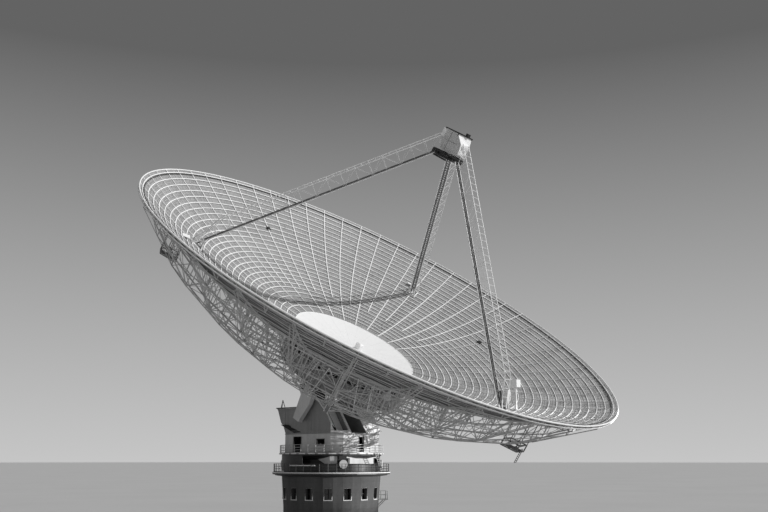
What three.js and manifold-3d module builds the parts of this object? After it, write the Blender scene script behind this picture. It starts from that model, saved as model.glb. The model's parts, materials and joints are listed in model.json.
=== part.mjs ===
// Radio telescope: a steerable mesh dish on a round tower, modelled at half its real size.
// Every size below is a real one in metres. The finished meshes are in model millimetres, +Z up.
// The origin is on the ground at the tower's centre and +X runs along the tilt axis.
import * as THREE from "three";
import { mergeVertices } from "three/addons/utils/BufferGeometryUtils.js";
import Module from "manifold-3d";

const wasm = await Module();
wasm.setup();

// Scale and fits
const modelMillimetres = 500;
const gap = 0.3 / modelMillimetres;
const runningClearance = 0.02;
const degree = Math.PI / 180;

// Dish
const dishRadius = 32;
const focalLength = 26.9;
const tilt = 35 * degree;
const tiltAxisHeight = 22.5;
const vertexAboveAxis = 6;
const discRadius = 8.14;
const skinThickness = 0.12;
const discStations = [0, 3.65];
const skinStations = [discRadius, 14, 20, 26, dishRadius - 0.3];
const dishFacets = 60;
const sectorStarts = [-21, 99, 219];
const sectorAngle = 120;
const rail = { count: 30, width: 0.16, height: 0.16, sink: 0.05, end: 31.6 };

// Backing frame: ribs whose lower chord lies this far below the skin at each station
const ribCount = 30;
const ribOffset = 6;
const ribThickness = 0.22;
const ribStations = [discRadius, 14, 20, 26, dishRadius - 0.5];
const ribDepths = [4.55, 4.6, 3.95, 3.05, 0.7];
const chordWidth = 0.3;
const ribTipLength = 1.6;
const ribSeat = 2 * gap;
const hoopWidth = 0.26;
const hoopStations = [1, 3];
const frameSplice = 17;

// Hub and tilt bearings
const hubBottom = 1.6;
const hubEdgeBottom = 1.95;
const hubCore = 3.65;
const hubPost = 1.5;
const hubPlate = 0.35;
const yokeHalfWidth = 1.15;
const shaftRadius = 0.45;
const shaftHalfLength = 5.36;
const bearingInside = 2.2;
const bearingOutside = 3.8;
const collar = { radius: 0.62, width: 0.3 };
const yokeOutline = { shaftSide: 0.85, shaftBottom: -0.7, hubSide: 2.7 };
const counterweightInside = 4.66;
const counterweightOutside = 5.34;
const counterweightOutline = [[-1.35, 0.6], [0.75, 0.6], [0.2, -0.6], [-0.95, -4.6], [-2.3, -3.9]];

// Focus cabin and its tripod
const footRadius = 23.2;
const footAngles = [-90, 30, 150];
const pad = { length: 1.6, width: 1.5, thickness: 0.34, lift: 0.0212 };
const legTopRadius = 1.55;
const legTopHeight = 27.1;
const legPanels = 5;
const legDepth = 1.7;
const legTipDepth = 0.35;
const legWidth = 1.1;
const legStops = [0.02, 0.25, 1.042];
const legPanelLength = 0.97;
const mainChordWidth = 0.42;
const lightChordWidth = 0.2;
const lacingWidth = 0.12;
const battenWidth = 0.15;
const platformBottom = 26.7;
const platformTop = 27.35;
const platformHalfWidth = 1.75;
const instrument = { x: 6.89, y: -20.86, height: 2.7, post: 0.16, box: 0.85, besideRail: 24 };
const vertexBox = { x0: 0.1, x1: 1, y0: -0.8, y1: 0.1, height: 1 };
const cabinTop = 30;
const cabinHalf = { x: 1.4, y: 1.2 };
const cabinTaper = 0.72;

// Tower
const towerRadius = 5.9;
const towerTopRadius = 6.2;
const wallThickness = 0.4;
const wallTop = 11.85;
const wallFlare = 7.8;
const towerFacets = 32;
const wallSeam = 4.1;
const windowsPerStorey = 16;
const windowOffset = -4.4;
const windowWidth = 0.88;
const windowHeight = 1.36;
const windowSills = [1.3, 5.12, 8.93];
const floorTops = [0.25, 4.2, 8.0];
const floorThickness = 0.25;
const glassThickness = 0.04;
const towerDoor = { angle: windowOffset + 90, width: 1.2, height: 2.2 };
const gallery = { radius: 7.35, thickness: 0.3, railHeight: 1.0 };
const railingPosts = 16;
const railWidth = 0.07;
const landing = { floor: 8.7, floorThickness: 0.1, reach: 7.1, width: 1.3, railOffset: 0.6, railTop: 9.8 };
const track = { inside: 5.3, outside: 5.9, height: 0.2 };

// Turret
const underframe = { bottom: 13.25, haunch: 14.1, top: 14.25, core: 3.6, radius: 6.3 };
const drumRadius = 4.7;
const apron = { bottom: 13.1, slopeStart: 3.17, slopeEnd: 0.97, rollerSpace: 1.5, above: 0.2 };
const bogiePlate = { width: 0.9, thickness: 0.14, aboveTrack: 0.3, intoUnderframe: 0.1 };
const roller = { radius: 0.6, width: 0.5, hub: 0.2, hubWidth: 0.7, track: 5.6, spread: 33 };
const ladder = { angle: -78.75, width: 0.55, rail: 0.1, treads: 5, topOffset: -0.6, footOffset: 0.75 };
const deck = { radius: 6.6, thickness: 0.15, railHeight: 1.0 };
const housing = { x: 4.3, front: -5.05, rear: 4, wall: 0.3, height: 2.2, roof: 0.2, corner: 1.1 };
const sideDoor = { y: 1.77, width: 1.4, height: 2.0 };
const sideWindow = { y: -2.28, width: 1.36, height: 0.76, sill: 0.92 };
const frontDoor = { width: 0.9, height: 1.95 };
const slotHalfWidth = 1.35;
const cheekTop = 21;
const cheekFlange = 0.35;
const cheekRecess = [[-6, 17.1], [-3.55, 17.1], [-1.55, 20.4], [-6, 20.4]];
const rearTop = 20;
const rearInset = 0.3;
const aerial = { x: -3.4, y: 5.6, base: 0.45, spread: 0.35, height: 1.1 };

const slabTop = wallTop + gallery.thickness;
const trackTop = slabTop + gap + track.height;
const deckTop = underframe.top + gap + deck.thickness;
const housingTop = deckTop + gap + housing.height;
const roofTop = housingTop + gap + housing.roof;
const cheekBottom = roofTop + gap;
const cheekOutline = [[-4.7, cheekBottom], [-2.1, 20.8], [-1.3, cheekTop], [1.2, cheekTop],
  [1.9, rearTop], [3.4, cheekBottom]];
const rearOutline = [[1.9 + 3 * gap, rearTop], [6, rearTop], [5.8, 19.75], [5.2, 18.25], [4.7, 17.7],
  [4.3, cheekBottom], [3.4 + 3 * gap, cheekBottom]];
const ventOutline = [[5.1, 17.98], [3.95, 17.94], [1.1, 16.93], [2.65, 16.88]];
const ventDepth = 0.5;
const bearingOutline = [[-0.95, cheekTop + gap], [0.95, cheekTop + gap], [0.75, 22.9], [0.35, 23.25],
  [-0.35, 23.25], [-0.75, 22.9]];

// Materials
function paint(color, roughness, metalness) {
  return new THREE.MeshStandardMaterial({ color, roughness, metalness });
}

const galvanized = paint(0xa9abab, 0.55, 0.5);
const whitePaint = paint(0xf0f0ec, 0.45, 0.1);
const greyPaint = paint(0x9c9e9c, 0.5, 0.2);
const darkSteel = paint(0x3c3d3e, 0.6, 0.4);
const concrete = paint(0x7d7c78, 0.9, 0);
const paleConcrete = paint(0xb9b8b2, 0.9, 0);
const windowGlass = paint(0x20262a, 0.1, 0);

// Solids
function signedVolume(positions, triangles) {
  const [a, b, c] = [new THREE.Vector3(), new THREE.Vector3(), new THREE.Vector3()];
  let total = 0;
  for (let i = 0; i < triangles.length; i += 3) {
    a.fromArray(positions, 3 * triangles[i]);
    b.fromArray(positions, 3 * triangles[i + 1]);
    c.fromArray(positions, 3 * triangles[i + 2]);
    total += a.dot(b.cross(c));
  }
  return total;
}

// Turns a closed geometry into a solid, without the empty triangles of poles and with its faces outward
function solid(geometry) {
  geometry.deleteAttribute("normal");
  geometry.deleteAttribute("uv");
  const merged = mergeVertices(geometry, 1e-5);
  const positions = new Float32Array(merged.attributes.position.array);
  const triangles = [];
  const index = merged.index.array;
  for (let i = 0; i < index.length; i += 3) {
    const [a, b, c] = [index[i], index[i + 1], index[i + 2]];
    if (a !== b && b !== c && c !== a) {
      triangles.push(a, b, c);
    }
  }
  if (signedVolume(positions, triangles) < 0) {
    triangles.reverse();
  }
  const triVerts = new Uint32Array(triangles);
  return new wasm.Manifold(new wasm.Mesh({ numProp: 3, vertProperties: positions, triVerts }));
}

function join(...solids) {
  return solids.flat(Infinity).reduce((whole, next) => whole.add(next));
}

function box(x0, x1, y0, y1, z0, z1) {
  const geometry = new THREE.BoxGeometry(x1 - x0, y1 - y0, z1 - z0);
  geometry.translate((x0 + x1) / 2, (y0 + y1) / 2, (z0 + z1) / 2);
  return solid(geometry);
}

// A straight bar from a to b: width is measured across, depth along the up direction
function bar(a, b, width, depth = width, up = new THREE.Vector3(0, 0, 1)) {
  const along = b.clone().sub(a);
  const length = along.length();
  along.normalize();
  if (Math.abs(along.dot(up)) > 0.999) {
    up = new THREE.Vector3(1, 0, 0);
  }
  const across = up.clone().cross(along).normalize();
  const over = along.clone().cross(across);
  const geometry = new THREE.BoxGeometry(width, depth, length);
  geometry.applyMatrix4(new THREE.Matrix4().makeBasis(across, over, along));
  const middle = a.clone().add(b).multiplyScalar(0.5);
  geometry.translate(middle.x, middle.y, middle.z);
  return solid(geometry);
}

// A solid of revolution about Z. The profile is [radius, height] points, from the axis back to it,
// or a closed loop. The first corner of its facets lies at -90 degrees plus the turn.
function revolved(profile, facets, turn = 0) {
  const points = profile.map(([radius, height]) => new THREE.Vector2(radius, height));
  const geometry = new THREE.LatheGeometry(points, facets);
  geometry.rotateX(Math.PI / 2);
  geometry.rotateZ(turn * degree);
  return solid(geometry);
}

function ring(inside, outside, bottom, top, facets, turn = 0) {
  const profile = [[inside, bottom], [outside, bottom], [outside, top], [inside, top], [inside, bottom]];
  return revolved(profile, facets, turn);
}

function disc(radius, bottom, top, facets, turn = 0) {
  return revolved([[0, bottom], [radius, bottom], [radius, top], [0, top]], facets, turn);
}

// A flat outline, with any holes, pushed through a thickness that is centred on its plane
function plate(outline, thickness, holes = []) {
  const shape = new THREE.Shape(outline.map(([x, y]) => new THREE.Vector2(x, y)));
  for (const hole of holes) {
    shape.holes.push(new THREE.Path(hole.map(([x, y]) => new THREE.Vector2(x, y))));
  }
  const geometry = new THREE.ExtrudeGeometry(shape, { depth: thickness, bevelEnabled: false });
  geometry.translate(0, 0, -thickness / 2);
  return geometry;
}

// A profile drawn as [y, z] points and pushed from x0 to x1
function sideProfile(outline, x0, x1) {
  const geometry = plate(outline, x1 - x0);
  const axes = [new THREE.Vector3(0, 1, 0), new THREE.Vector3(0, 0, 1), new THREE.Vector3(1, 0, 0)];
  geometry.applyMatrix4(new THREE.Matrix4().makeBasis(...axes));
  geometry.translate((x0 + x1) / 2, 0, 0);
  return solid(geometry);
}

function atAngle(radius, angle, height) {
  return new THREE.Vector3(radius * Math.cos(angle * degree), radius * Math.sin(angle * degree), height);
}

// A box with one side along the radius that points to the angle
function radialBox(inside, outside, width, bottom, top, angle) {
  const geometry = new THREE.BoxGeometry(outside - inside, width, top - bottom);
  geometry.translate((inside + outside) / 2, 0, (bottom + top) / 2);
  geometry.rotateZ(angle * degree);
  return solid(geometry);
}

// A tall wedge that starts at the given angle, used to divide rings into segments with a gap between
function wedge(start, angle, reach) {
  const outline = [[0, 0]];
  const steps = 4;
  for (let i = 0; i <= steps; i += 1) {
    const corner = atAngle(reach, start + (angle * i) / steps, 0);
    outline.push([corner.x, corner.y]);
  }
  const geometry = plate(outline, 2 * reach);
  const shift = atAngle(gap, start + angle / 2, 0);
  geometry.translate(shift.x, shift.y, 0);
  return solid(geometry);
}

function piece(group, name, shape, material, turn = 0) {
  const mesh = shape.getMesh();
  const geometry = new THREE.BufferGeometry();
  geometry.setAttribute("position", new THREE.BufferAttribute(mesh.vertProperties, 3));
  geometry.setIndex(new THREE.BufferAttribute(mesh.triVerts, 1));
  geometry.scale(modelMillimetres, modelMillimetres, modelMillimetres);
  geometry.computeVertexNormals();
  const node = new THREE.Mesh(geometry, material);
  node.name = name;
  node.rotation.z = turn * degree;
  group.add(node);
}

// A round railing: posts at the corners of a top and a middle rail
function railing(radius, bottom, height, posts) {
  const top = ring(radius - railWidth, radius, bottom + height - railWidth, bottom + height, posts);
  const middleHeight = bottom + (height - railWidth) / 2;
  const middle = ring(radius - railWidth, radius, middleHeight, middleHeight + railWidth, posts);
  const uprights = [];
  for (let i = 0; i < posts; i += 1) {
    const angle = -90 + (360 * i) / posts;
    uprights.push(radialBox(radius - 0.11, radius - 0.01, 0.1, bottom, bottom + height - 0.02, angle));
  }
  return join(top, middle, uprights);
}

// Tower
function towerWall() {
  const facetTurn = windowOffset + 90 - 180 / towerFacets;
  const inside = towerRadius - wallThickness;
  const profile = [
    [inside, 0],
    [towerRadius, 0],
    [towerRadius, wallFlare],
    [towerTopRadius, wallTop - gap],
    [inside, wallTop - gap],
    [inside, 0],
  ];
  let wall = revolved(profile, towerFacets, facetTurn);
  for (const sill of windowSills) {
    for (let i = 0; i < windowsPerStorey; i += 1) {
      const angle = windowOffset + (360 * i) / windowsPerStorey;
      if (sill !== windowSills[0] || angle !== towerDoor.angle) {
        const opening = radialBox(5, 7, windowWidth, sill, sill + windowHeight, angle);
        wall = wall.subtract(opening);
      }
    }
  }
  const { angle, width, height } = towerDoor;
  return wall.subtract(radialBox(5, 7, width, -1, floorTops[0] + height, angle));
}

function buildTower(group) {
  const facetTurn = windowOffset + 90 - 180 / towerFacets;
  const inside = towerRadius - wallThickness;
  const wall = towerWall();
  const groundStorey = wall.intersect(box(-10, 10, -10, 10, -1, wallSeam));
  const upperStoreys = wall.intersect(box(-10, 10, -10, 10, wallSeam + gap, 20));
  for (let i = 0; i < 4; i += 1) {
    const quarter = wedge(windowOffset + 360 / windowsPerStorey / 2 + 90 * i, 90, 20);
    piece(group, `lower_wall_${i + 1}`, groundStorey.intersect(quarter), concrete);
    piece(group, `upper_wall_${i + 1}`, upperStoreys.intersect(quarter), concrete);
  }
  const floorNames = ["ground_floor", "first_floor", "second_floor"];
  floorTops.forEach((top, i) => {
    const floor = disc(inside - gap, top - floorThickness, top, towerFacets, facetTurn);
    piece(group, floorNames[i], floor, paleConcrete);
  });
  const { angle, width, height } = towerDoor;
  const behindDoor = radialBox(inside - 1, inside + 1, width, -1, wallTop, angle);
  const glassTurn = windowOffset + 90 + 180 / windowsPerStorey;
  floorTops.forEach((top, i) => {
    const ceiling = i < 2 ? floorTops[i + 1] - floorThickness : wallTop;
    const outside = inside * Math.cos(Math.PI / towerFacets) - gap;
    const inner = outside - glassThickness;
    const sheet = ring(inner, outside, top + gap, ceiling - gap, windowsPerStorey, glassTurn);
    const glass = i === 0 ? sheet.subtract(behindDoor) : sheet;
    piece(group, `window_glass_${i + 1}`, glass, windowGlass);
  });
  const leafOutside = inside + 0.2;
  const leafTop = floorTops[0] + height - gap;
  const leaf = radialBox(inside + 0.1, leafOutside, width - 2 * gap, 0, leafTop, angle);
  piece(group, "tower_door", leaf, darkSteel);
  const slab = disc(gallery.radius, wallTop, slabTop, towerFacets, facetTurn);
  piece(group, "gallery_slab", slab, paleConcrete);
  const galleryRail = railing(gallery.radius - 0.1, slabTop + gap, gallery.railHeight, railingPosts);
  piece(group, "gallery_railing", galleryRail, galvanized);
  const rail = ring(track.inside, track.outside, slabTop + gap, trackTop, towerFacets, facetTurn);
  piece(group, "azimuth_track", rail, darkSteel);
  piece(group, "service_landing", serviceLanding(), galvanized);
}

// A small landing with rails and struts on the outside of the top storey
function serviceLanding() {
  const angle = windowOffset - 45 + 360 / windowsPerStorey / 2;
  const { floor, floorThickness, reach, width, railOffset, railTop } = landing;
  const parts = [radialBox(towerRadius, reach, width, floor, floor + floorThickness, angle)];
  const middle = floor + floorThickness / 2;
  for (const side of [-1, 1]) {
    const corner = (radius, height) => {
      const point = atAngle(radius, angle, height);
      return point.add(atAngle(side * railOffset, angle + 90, 0));
    };
    for (const radius of [reach - 0.05, towerRadius + 0.3]) {
      parts.push(bar(corner(radius, middle), corner(radius, railTop), railWidth));
    }
    for (const height of [railTop - 0.03, railTop - 0.5]) {
      parts.push(bar(corner(towerRadius + 0.3, height), corner(reach - 0.02, height), railWidth - 0.01));
    }
    parts.push(bar(corner(towerRadius, floor - 0.8), corner(reach - 0.3, middle), 0.1));
  }
  const facetTurn = windowOffset + 90 - 180 / towerFacets;
  const wallFace = [
    [0, 0],
    [towerRadius + gap, 0],
    [towerRadius + gap, wallFlare],
    [towerTopRadius + gap, wallTop],
    [0, wallTop],
  ];
  return join(parts).subtract(revolved(wallFace, towerFacets, facetTurn));
}

// Turret
function bogieAngles() {
  return [-90 - roller.spread, -90 + roller.spread, 90 - roller.spread, 90 + roller.spread];
}

function bogie(angle) {
  const { width, thickness, aboveTrack, intoUnderframe } = bogiePlate;
  const halfGauge = roller.hubWidth / 2 + gap;
  const bottom = trackTop + aboveTrack;
  const top = underframe.top - intoUnderframe;
  return [roller.track - halfGauge - thickness, roller.track + halfGauge].map((inside) => {
    return radialBox(inside, inside + thickness, width, bottom, top, angle);
  });
}

// The skirts under the housing's front and rear, open above the rollers
function aprons() {
  const { bottom, slopeStart, slopeEnd, rollerSpace, above } = apron;
  const top = underframe.top - 0.1;
  const below = housingBlock(0, bottom, top);
  const skirts = [-1, 1].map((side) => {
    const outline = [[slopeEnd, top], [slopeStart, bottom], [7, bottom], [7, top]];
    const turned = outline.map(([y, z]) => [side * y, z]);
    return sideProfile(turned, -housing.x, housing.x).intersect(below);
  });
  const openings = bogieAngles().map((angle) => {
    const openTop = trackTop + 2 * roller.radius + above;
    return radialBox(roller.track - 0.5, 8, rollerSpace, 12, openTop, angle);
  });
  return join(skirts).subtract(join(openings));
}

function buildUnderframe() {
  const profile = [
    [0, underframe.bottom],
    [underframe.core, underframe.bottom],
    [underframe.radius, underframe.haunch],
    [underframe.radius, underframe.top],
    [0, underframe.top],
  ];
  const body = revolved(profile, 16, 360 / 32);
  const drum = disc(drumRadius, slabTop + gap, underframe.bottom + 0.4, 16, 360 / 32);
  return join(body, drum, aprons(), bogieAngles().map(bogie));
}

function rollerWheel(angle) {
  const half = roller.hubWidth / 2;
  const face = roller.width / 2;
  const profile = [
    [0, -half],
    [roller.hub, -half],
    [roller.hub, -face],
    [roller.radius, -face],
    [roller.radius, face],
    [roller.hub, face],
    [roller.hub, half],
    [0, half],
  ];
  const points = profile.map(([radius, height]) => new THREE.Vector2(radius, height));
  const geometry = new THREE.LatheGeometry(points, 16);
  geometry.rotateX(Math.PI / 2);
  geometry.rotateY(Math.PI / 2);
  geometry.translate(roller.track, 0, trackTop + gap + roller.radius);
  geometry.rotateZ(angle * degree);
  return solid(geometry);
}

// The housing's plan, cut off at its two front corners and set in by the given amount
function housingPlan(inset) {
  const { front, rear, corner } = housing;
  const x = housing.x - inset;
  const cut = corner - 0.4 * inset;
  return [[-x, rear], [-x, front + inset + cut], [-x + cut, front + inset],
    [x - cut, front + inset], [x, front + inset + cut], [x, rear]];
}

function housingBlock(inset, bottom, top) {
  const geometry = plate(housingPlan(inset), top - bottom);
  geometry.translate(0, 0, (bottom + top) / 2);
  return solid(geometry);
}

function housingWalls(group) {
  const { x, front, rear, wall, height, corner } = housing;
  const bottom = deckTop + gap;
  const top = bottom + height;
  const doorSide = frontDoor.width / 2;
  const doorway = box(-doorSide, doorSide, front - 1, front + 1, bottom - 1, bottom + frontDoor.height);
  const cornerEnd = front + corner;
  const shell = housingBlock(0, bottom, top).subtract(housingBlock(wall, bottom - 1, top + 1));
  const frontWall = shell.subtract(box(-x - 1, x + 1, cornerEnd, rear + 1, bottom - 1, top + 1));
  piece(group, "housing_front", frontWall.subtract(doorway), whitePaint);
  piece(group, "housing_rear", box(-x, x, rear - wall, rear, bottom, top), whitePaint);
  for (const [name, side] of [["housing_left", -1], ["housing_right", 1]]) {
    const [x0, x1] = side < 0 ? [-x, -x + wall] : [x - wall, x];
    const shape = box(x0, x1, cornerEnd + gap, rear - wall - gap, bottom, top);
    const [y0, y1] = [sideDoor.y - sideDoor.width / 2, sideDoor.y + sideDoor.width / 2];
    const door = box(x0 - 1, x1 + 1, y0, y1, bottom - 1, bottom + sideDoor.height);
    const sill = bottom + sideWindow.sill;
    const [w0, w1] = [sideWindow.y - sideWindow.width / 2, sideWindow.y + sideWindow.width / 2];
    const opening = box(x0 - 1, x1 + 1, w0, w1, sill, sill + sideWindow.height);
    piece(group, name, shape.subtract(door).subtract(opening), whitePaint);
  }
  piece(group, "housing_roof", housingBlock(0, housingTop + gap, roofTop), whitePaint);
}

// One of the two tapered cheeks that carry the tilt bearings, hollowed between its flanges in front
function cheek(side) {
  const [x0, x1] = side < 0 ? [-housing.x, -slotHalfWidth] : [slotHalfWidth, housing.x];
  const recess = sideProfile(cheekRecess, x0 + cheekFlange, x1 - cheekFlange);
  const within = housingBlock(0, cheekBottom, cheekTop + 1);
  return sideProfile(cheekOutline, x0, x1).subtract(recess).intersect(within).subtract(vents(housing.x));
}

// The wedge-shaped vents in both sides, cut in from a face at x
function vents(x) {
  return join([-1, 1].map((side) => {
    const [x0, x1] = side < 0 ? [-x - 1, -x + ventDepth] : [x - ventDepth, x + 1];
    return sideProfile(ventOutline, x0, x1);
  }));
}

function bearing(side) {
  const [x0, x1] = side < 0 ? [-bearingOutside, -bearingInside] : [bearingInside, bearingOutside];
  const boreRadius = shaftRadius + runningClearance;
  const geometry = new THREE.CylinderGeometry(boreRadius, boreRadius, 10, 16);
  geometry.rotateZ(Math.PI / 2);
  geometry.translate(0, 0, tiltAxisHeight);
  return sideProfile(bearingOutline, x0, x1).subtract(solid(geometry));
}

// The slanting ladder that hangs from one face of the deck's edge down to the gallery
function deckLadder() {
  const { angle, width, rail, treads, topOffset, footOffset } = ladder;
  const face = deck.radius * Math.cos(Math.PI / towerFacets) + gap + rail / 2;
  const place = (offset, height) => {
    return atAngle(face, angle, height).add(atAngle(offset, angle + 90, 0));
  };
  const apart = atAngle(width, angle + 90, 0);
  const top = place(topOffset, deckTop - 0.04);
  const foot = place(footOffset, slabTop + 0.1);
  const outward = atAngle(1, angle, 0);
  const parts = [top.clone(), top.clone().add(apart)].map((start, i) => {
    const end = i === 0 ? foot : foot.clone().add(apart);
    return bar(start, end, rail, rail, outward);
  });
  for (let i = 0; i < treads; i += 1) {
    const start = top.clone().lerp(foot, (i + 0.6) / treads);
    parts.push(bar(start, start.clone().add(apart), 0.06, 0.06, outward));
  }
  return join(parts);
}

function roofAerial() {
  const base = new THREE.Vector3(aerial.x, aerial.y, rearTop + gap);
  const tip = base.clone().setZ(rearTop + aerial.height);
  const parts = [disc(aerial.base, 0, 0.06, 6).translate([base.x, base.y, base.z])];
  for (const angle of [90, 210, 330]) {
    const foot = base.clone().add(atAngle(aerial.spread, angle, 0.03));
    parts.push(bar(foot, tip, railWidth, railWidth, new THREE.Vector3(0.3, 1, 0.2)));
  }
  return join(parts);
}

function buildTurret(group) {
  piece(group, "turret_underframe", buildUnderframe(), darkSteel);
  const floor = disc(deck.radius, underframe.top + gap, deckTop, towerFacets, 180 / towerFacets);
  piece(group, "turret_deck", floor, greyPaint);
  piece(group, "deck_ladder", deckLadder(), galvanized);
  const deckRail = railing(deck.radius - 0.08, deckTop + gap, deck.railHeight, railingPosts);
  piece(group, "deck_railing", deckRail, galvanized);
  housingWalls(group);
  piece(group, "cheek_left", cheek(-1), greyPaint);
  piece(group, "cheek_right", cheek(1), greyPaint);
  piece(group, "bearing_left", bearing(-1), darkSteel);
  piece(group, "bearing_right", bearing(1), darkSteel);
  const rearX = housing.x - rearInset;
  const rearBlock = sideProfile(rearOutline, -rearX, rearX).subtract(vents(rearX));
  piece(group, "rear_housing", rearBlock, greyPaint);
  piece(group, "roof_aerial", roofAerial(), galvanized);
}

// Dish, drawn upright about its own axis with the tilt axis at the origin
function dishHeight(radius) {
  return vertexAboveAxis + (radius * radius) / (4 * focalLength);
}

function dishSkin(stations) {
  const lower = stations.map((radius) => [radius, dishHeight(radius) - skinThickness]);
  const upper = stations.map((radius) => [radius, dishHeight(radius)]).reverse();
  return [...lower, ...upper];
}

// Turns a flat shape of (radius, height) points into the upright plane at the given angle
function uprightPlate(outline, thickness, angle, holes = []) {
  const geometry = plate(outline, thickness, holes);
  const radial = atAngle(1, angle, 0);
  const vertical = new THREE.Vector3(0, 0, 1);
  geometry.applyMatrix4(new THREE.Matrix4().makeBasis(radial, vertical, radial.clone().cross(vertical)));
  return solid(geometry);
}

// A light rail that runs out along the mesh, larger all round by the margin
function radialRail(step, margin = 0) {
  const stations = [...skinStations.slice(0, -1), rail.end];
  const lower = stations.map((radius) => [radius, skinTop(radius) - rail.sink]);
  const upper = stations.map((radius) => [radius, skinTop(radius) + rail.height + margin]);
  return uprightPlate([...lower, ...upper.reverse()], rail.width + 2 * margin, (360 * step) / rail.count);
}

// One rib: an upper and a lower chord with a post at each station, all in one plane
function rib(angle) {
  const top = (radius) => skinUnderside(radius) - ribSeat;
  const bottom = (i) => dishHeight(ribStations[i]) - ribDepths[i];
  const upper = ribStations.map((radius) => [radius, top(radius)]);
  const lower = ribStations.map((radius, i) => [radius, bottom(i)]);
  const holes = [];
  for (let i = 0; i + 1 < ribStations.length; i += 1) {
    const [r0, r1] = [ribStations[i], ribStations[i + 1]];
    const left = r0 + (i === 0 ? chordWidth : chordWidth / 2);
    const right = r1 - (i + 2 === ribStations.length ? ribTipLength : chordWidth / 2);
    const mix = (a, b, radius) => a + ((b - a) * (radius - r0)) / (r1 - r0);
    const high = (radius) => mix(top(r0), top(r1), radius) - chordWidth;
    const low = (radius) => mix(bottom(i), bottom(i + 1), radius) + chordWidth;
    holes.push([[left, low(left)], [right, low(right)], [right, high(right)], [left, high(left)]]);
  }
  return uprightPlate([...lower, ...upper.reverse()], ribThickness, angle, holes);
}

// Height of the skin's lower side, which is straight between its stations
function skinUnderside(radius) {
  const stations = [...discStations, ...skinStations, dishRadius];
  const i = Math.max(1, stations.findIndex((station) => station >= radius));
  const [r0, r1] = [stations[i - 1], stations[i]];
  const share = (radius - r0) / (r1 - r0);
  return dishHeight(r0) * (1 - share) + dishHeight(r1) * share - skinThickness;
}

function skinTop(radius) {
  return skinUnderside(radius) + skinThickness;
}

function backingFrame() {
  const ribs = [];
  for (let i = 0; i < ribCount; i += 1) {
    ribs.push(rib(ribOffset + (360 * i) / ribCount));
  }
  const hoops = [];
  for (const i of hoopStations) {
    const radius = ribStations[i];
    const bottom = dishHeight(radius) - ribDepths[i] + 0.05;
    const outside = radius + hoopWidth / 2;
    hoops.push(ring(outside - hoopWidth, outside, bottom, bottom + hoopWidth, ribCount, ribOffset + 90));
  }
  return join(ribs, hoops);
}

// The closed hub under the solid centre: a wide pan with a post in its middle
function hubDrum() {
  const outside = discRadius - gap;
  const seat = (radius) => skinUnderside(radius) - gap;
  const profile = [
    [0, hubBottom],
    [hubCore, hubBottom],
    [outside, hubEdgeBottom],
    [outside, seat(outside)],
    [outside - hubPlate, seat(outside - hubPlate)],
    [outside - hubPlate, hubEdgeBottom + hubPlate],
    [hubPost, hubBottom + hubPlate],
    [hubPost, seat(hubPost)],
    [0, seat(0)],
  ];
  return revolved(profile, dishFacets);
}

function yoke() {
  const shaft = new THREE.CylinderGeometry(shaftRadius, shaftRadius, 2 * shaftHalfLength, 12);
  shaft.rotateZ(Math.PI / 2);
  const collars = [-1, 1].map((side) => {
    const geometry = new THREE.CylinderGeometry(collar.radius, collar.radius, collar.width, 12);
    geometry.rotateZ(Math.PI / 2);
    geometry.translate(side * (bearingInside - gap - collar.width / 2), 0, 0);
    return solid(geometry);
  });
  const { shaftSide, shaftBottom, hubSide } = yokeOutline;
  const top = hubBottom - gap;
  const outline = [[-shaftSide, shaftBottom], [shaftSide, shaftBottom], [hubSide, top], [-hubSide, top]];
  return join(solid(shaft), collars, sideProfile(outline, -yokeHalfWidth, yokeHalfWidth));
}

function counterweight(side) {
  const [x0, x1] = side < 0
    ? [-counterweightOutside, -counterweightInside]
    : [counterweightInside, counterweightOutside];
  const boreRadius = shaftRadius + 1.1 * gap;
  const bore = new THREE.CylinderGeometry(boreRadius, boreRadius, 20, 12);
  bore.rotateZ(Math.PI / 2);
  return sideProfile(counterweightOutline, x0, x1).subtract(solid(bore));
}

// One leg: a heavy lower chord and two light upper chords, with zigzag lacing on its three sides
function tripodLeg(angle) {
  const foot = atAngle(footRadius, angle, skinTop(footRadius) + pad.lift + pad.thickness);
  const head = atAngle(legTopRadius, angle, vertexAboveAxis + legTopHeight);
  const along = head.clone().sub(foot).normalize();
  const across = atAngle(1, angle + 90, 0);
  const outward = across.clone().cross(along).normalize();
  if (outward.dot(atAngle(1, angle, 0)) < 0) {
    outward.negate();
  }
  const depthAt = (t) => legTipDepth + (legDepth - legTipDepth) * Math.min(1, 4 * t);
  const main = (t) => foot.clone().lerp(head, t);
  const upper = (t, side) => {
    return main(t).addScaledVector(outward, depthAt(t)).addScaledVector(across, (side * legWidth) / 2);
  };
  const panelEnd = (i) => legStops[0] + (legPanelLength * i) / legPanels;
  const parts = [bar(main(0), main(1), mainChordWidth, mainChordWidth, outward)];
  for (const side of [-1, 1]) {
    for (let i = 0; i + 1 < legStops.length; i += 1) {
      const width = lightChordWidth + 0.03 * (i % 2);
      parts.push(bar(upper(legStops[i], side), upper(legStops[i + 1], side), width, width, outward));
    }
    for (let i = 0; i < legPanels; i += 1) {
      const middle = main((panelEnd(i) + panelEnd(i + 1)) / 2);
      parts.push(bar(upper(panelEnd(i), side), middle, lacingWidth, lacingWidth, outward));
    }
  }
  for (let i = 0; i <= legPanels; i += 1) {
    parts.push(bar(upper(panelEnd(i), -1), upper(panelEnd(i), 1), battenWidth, battenWidth, outward));
  }
  return join(parts);
}

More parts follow.
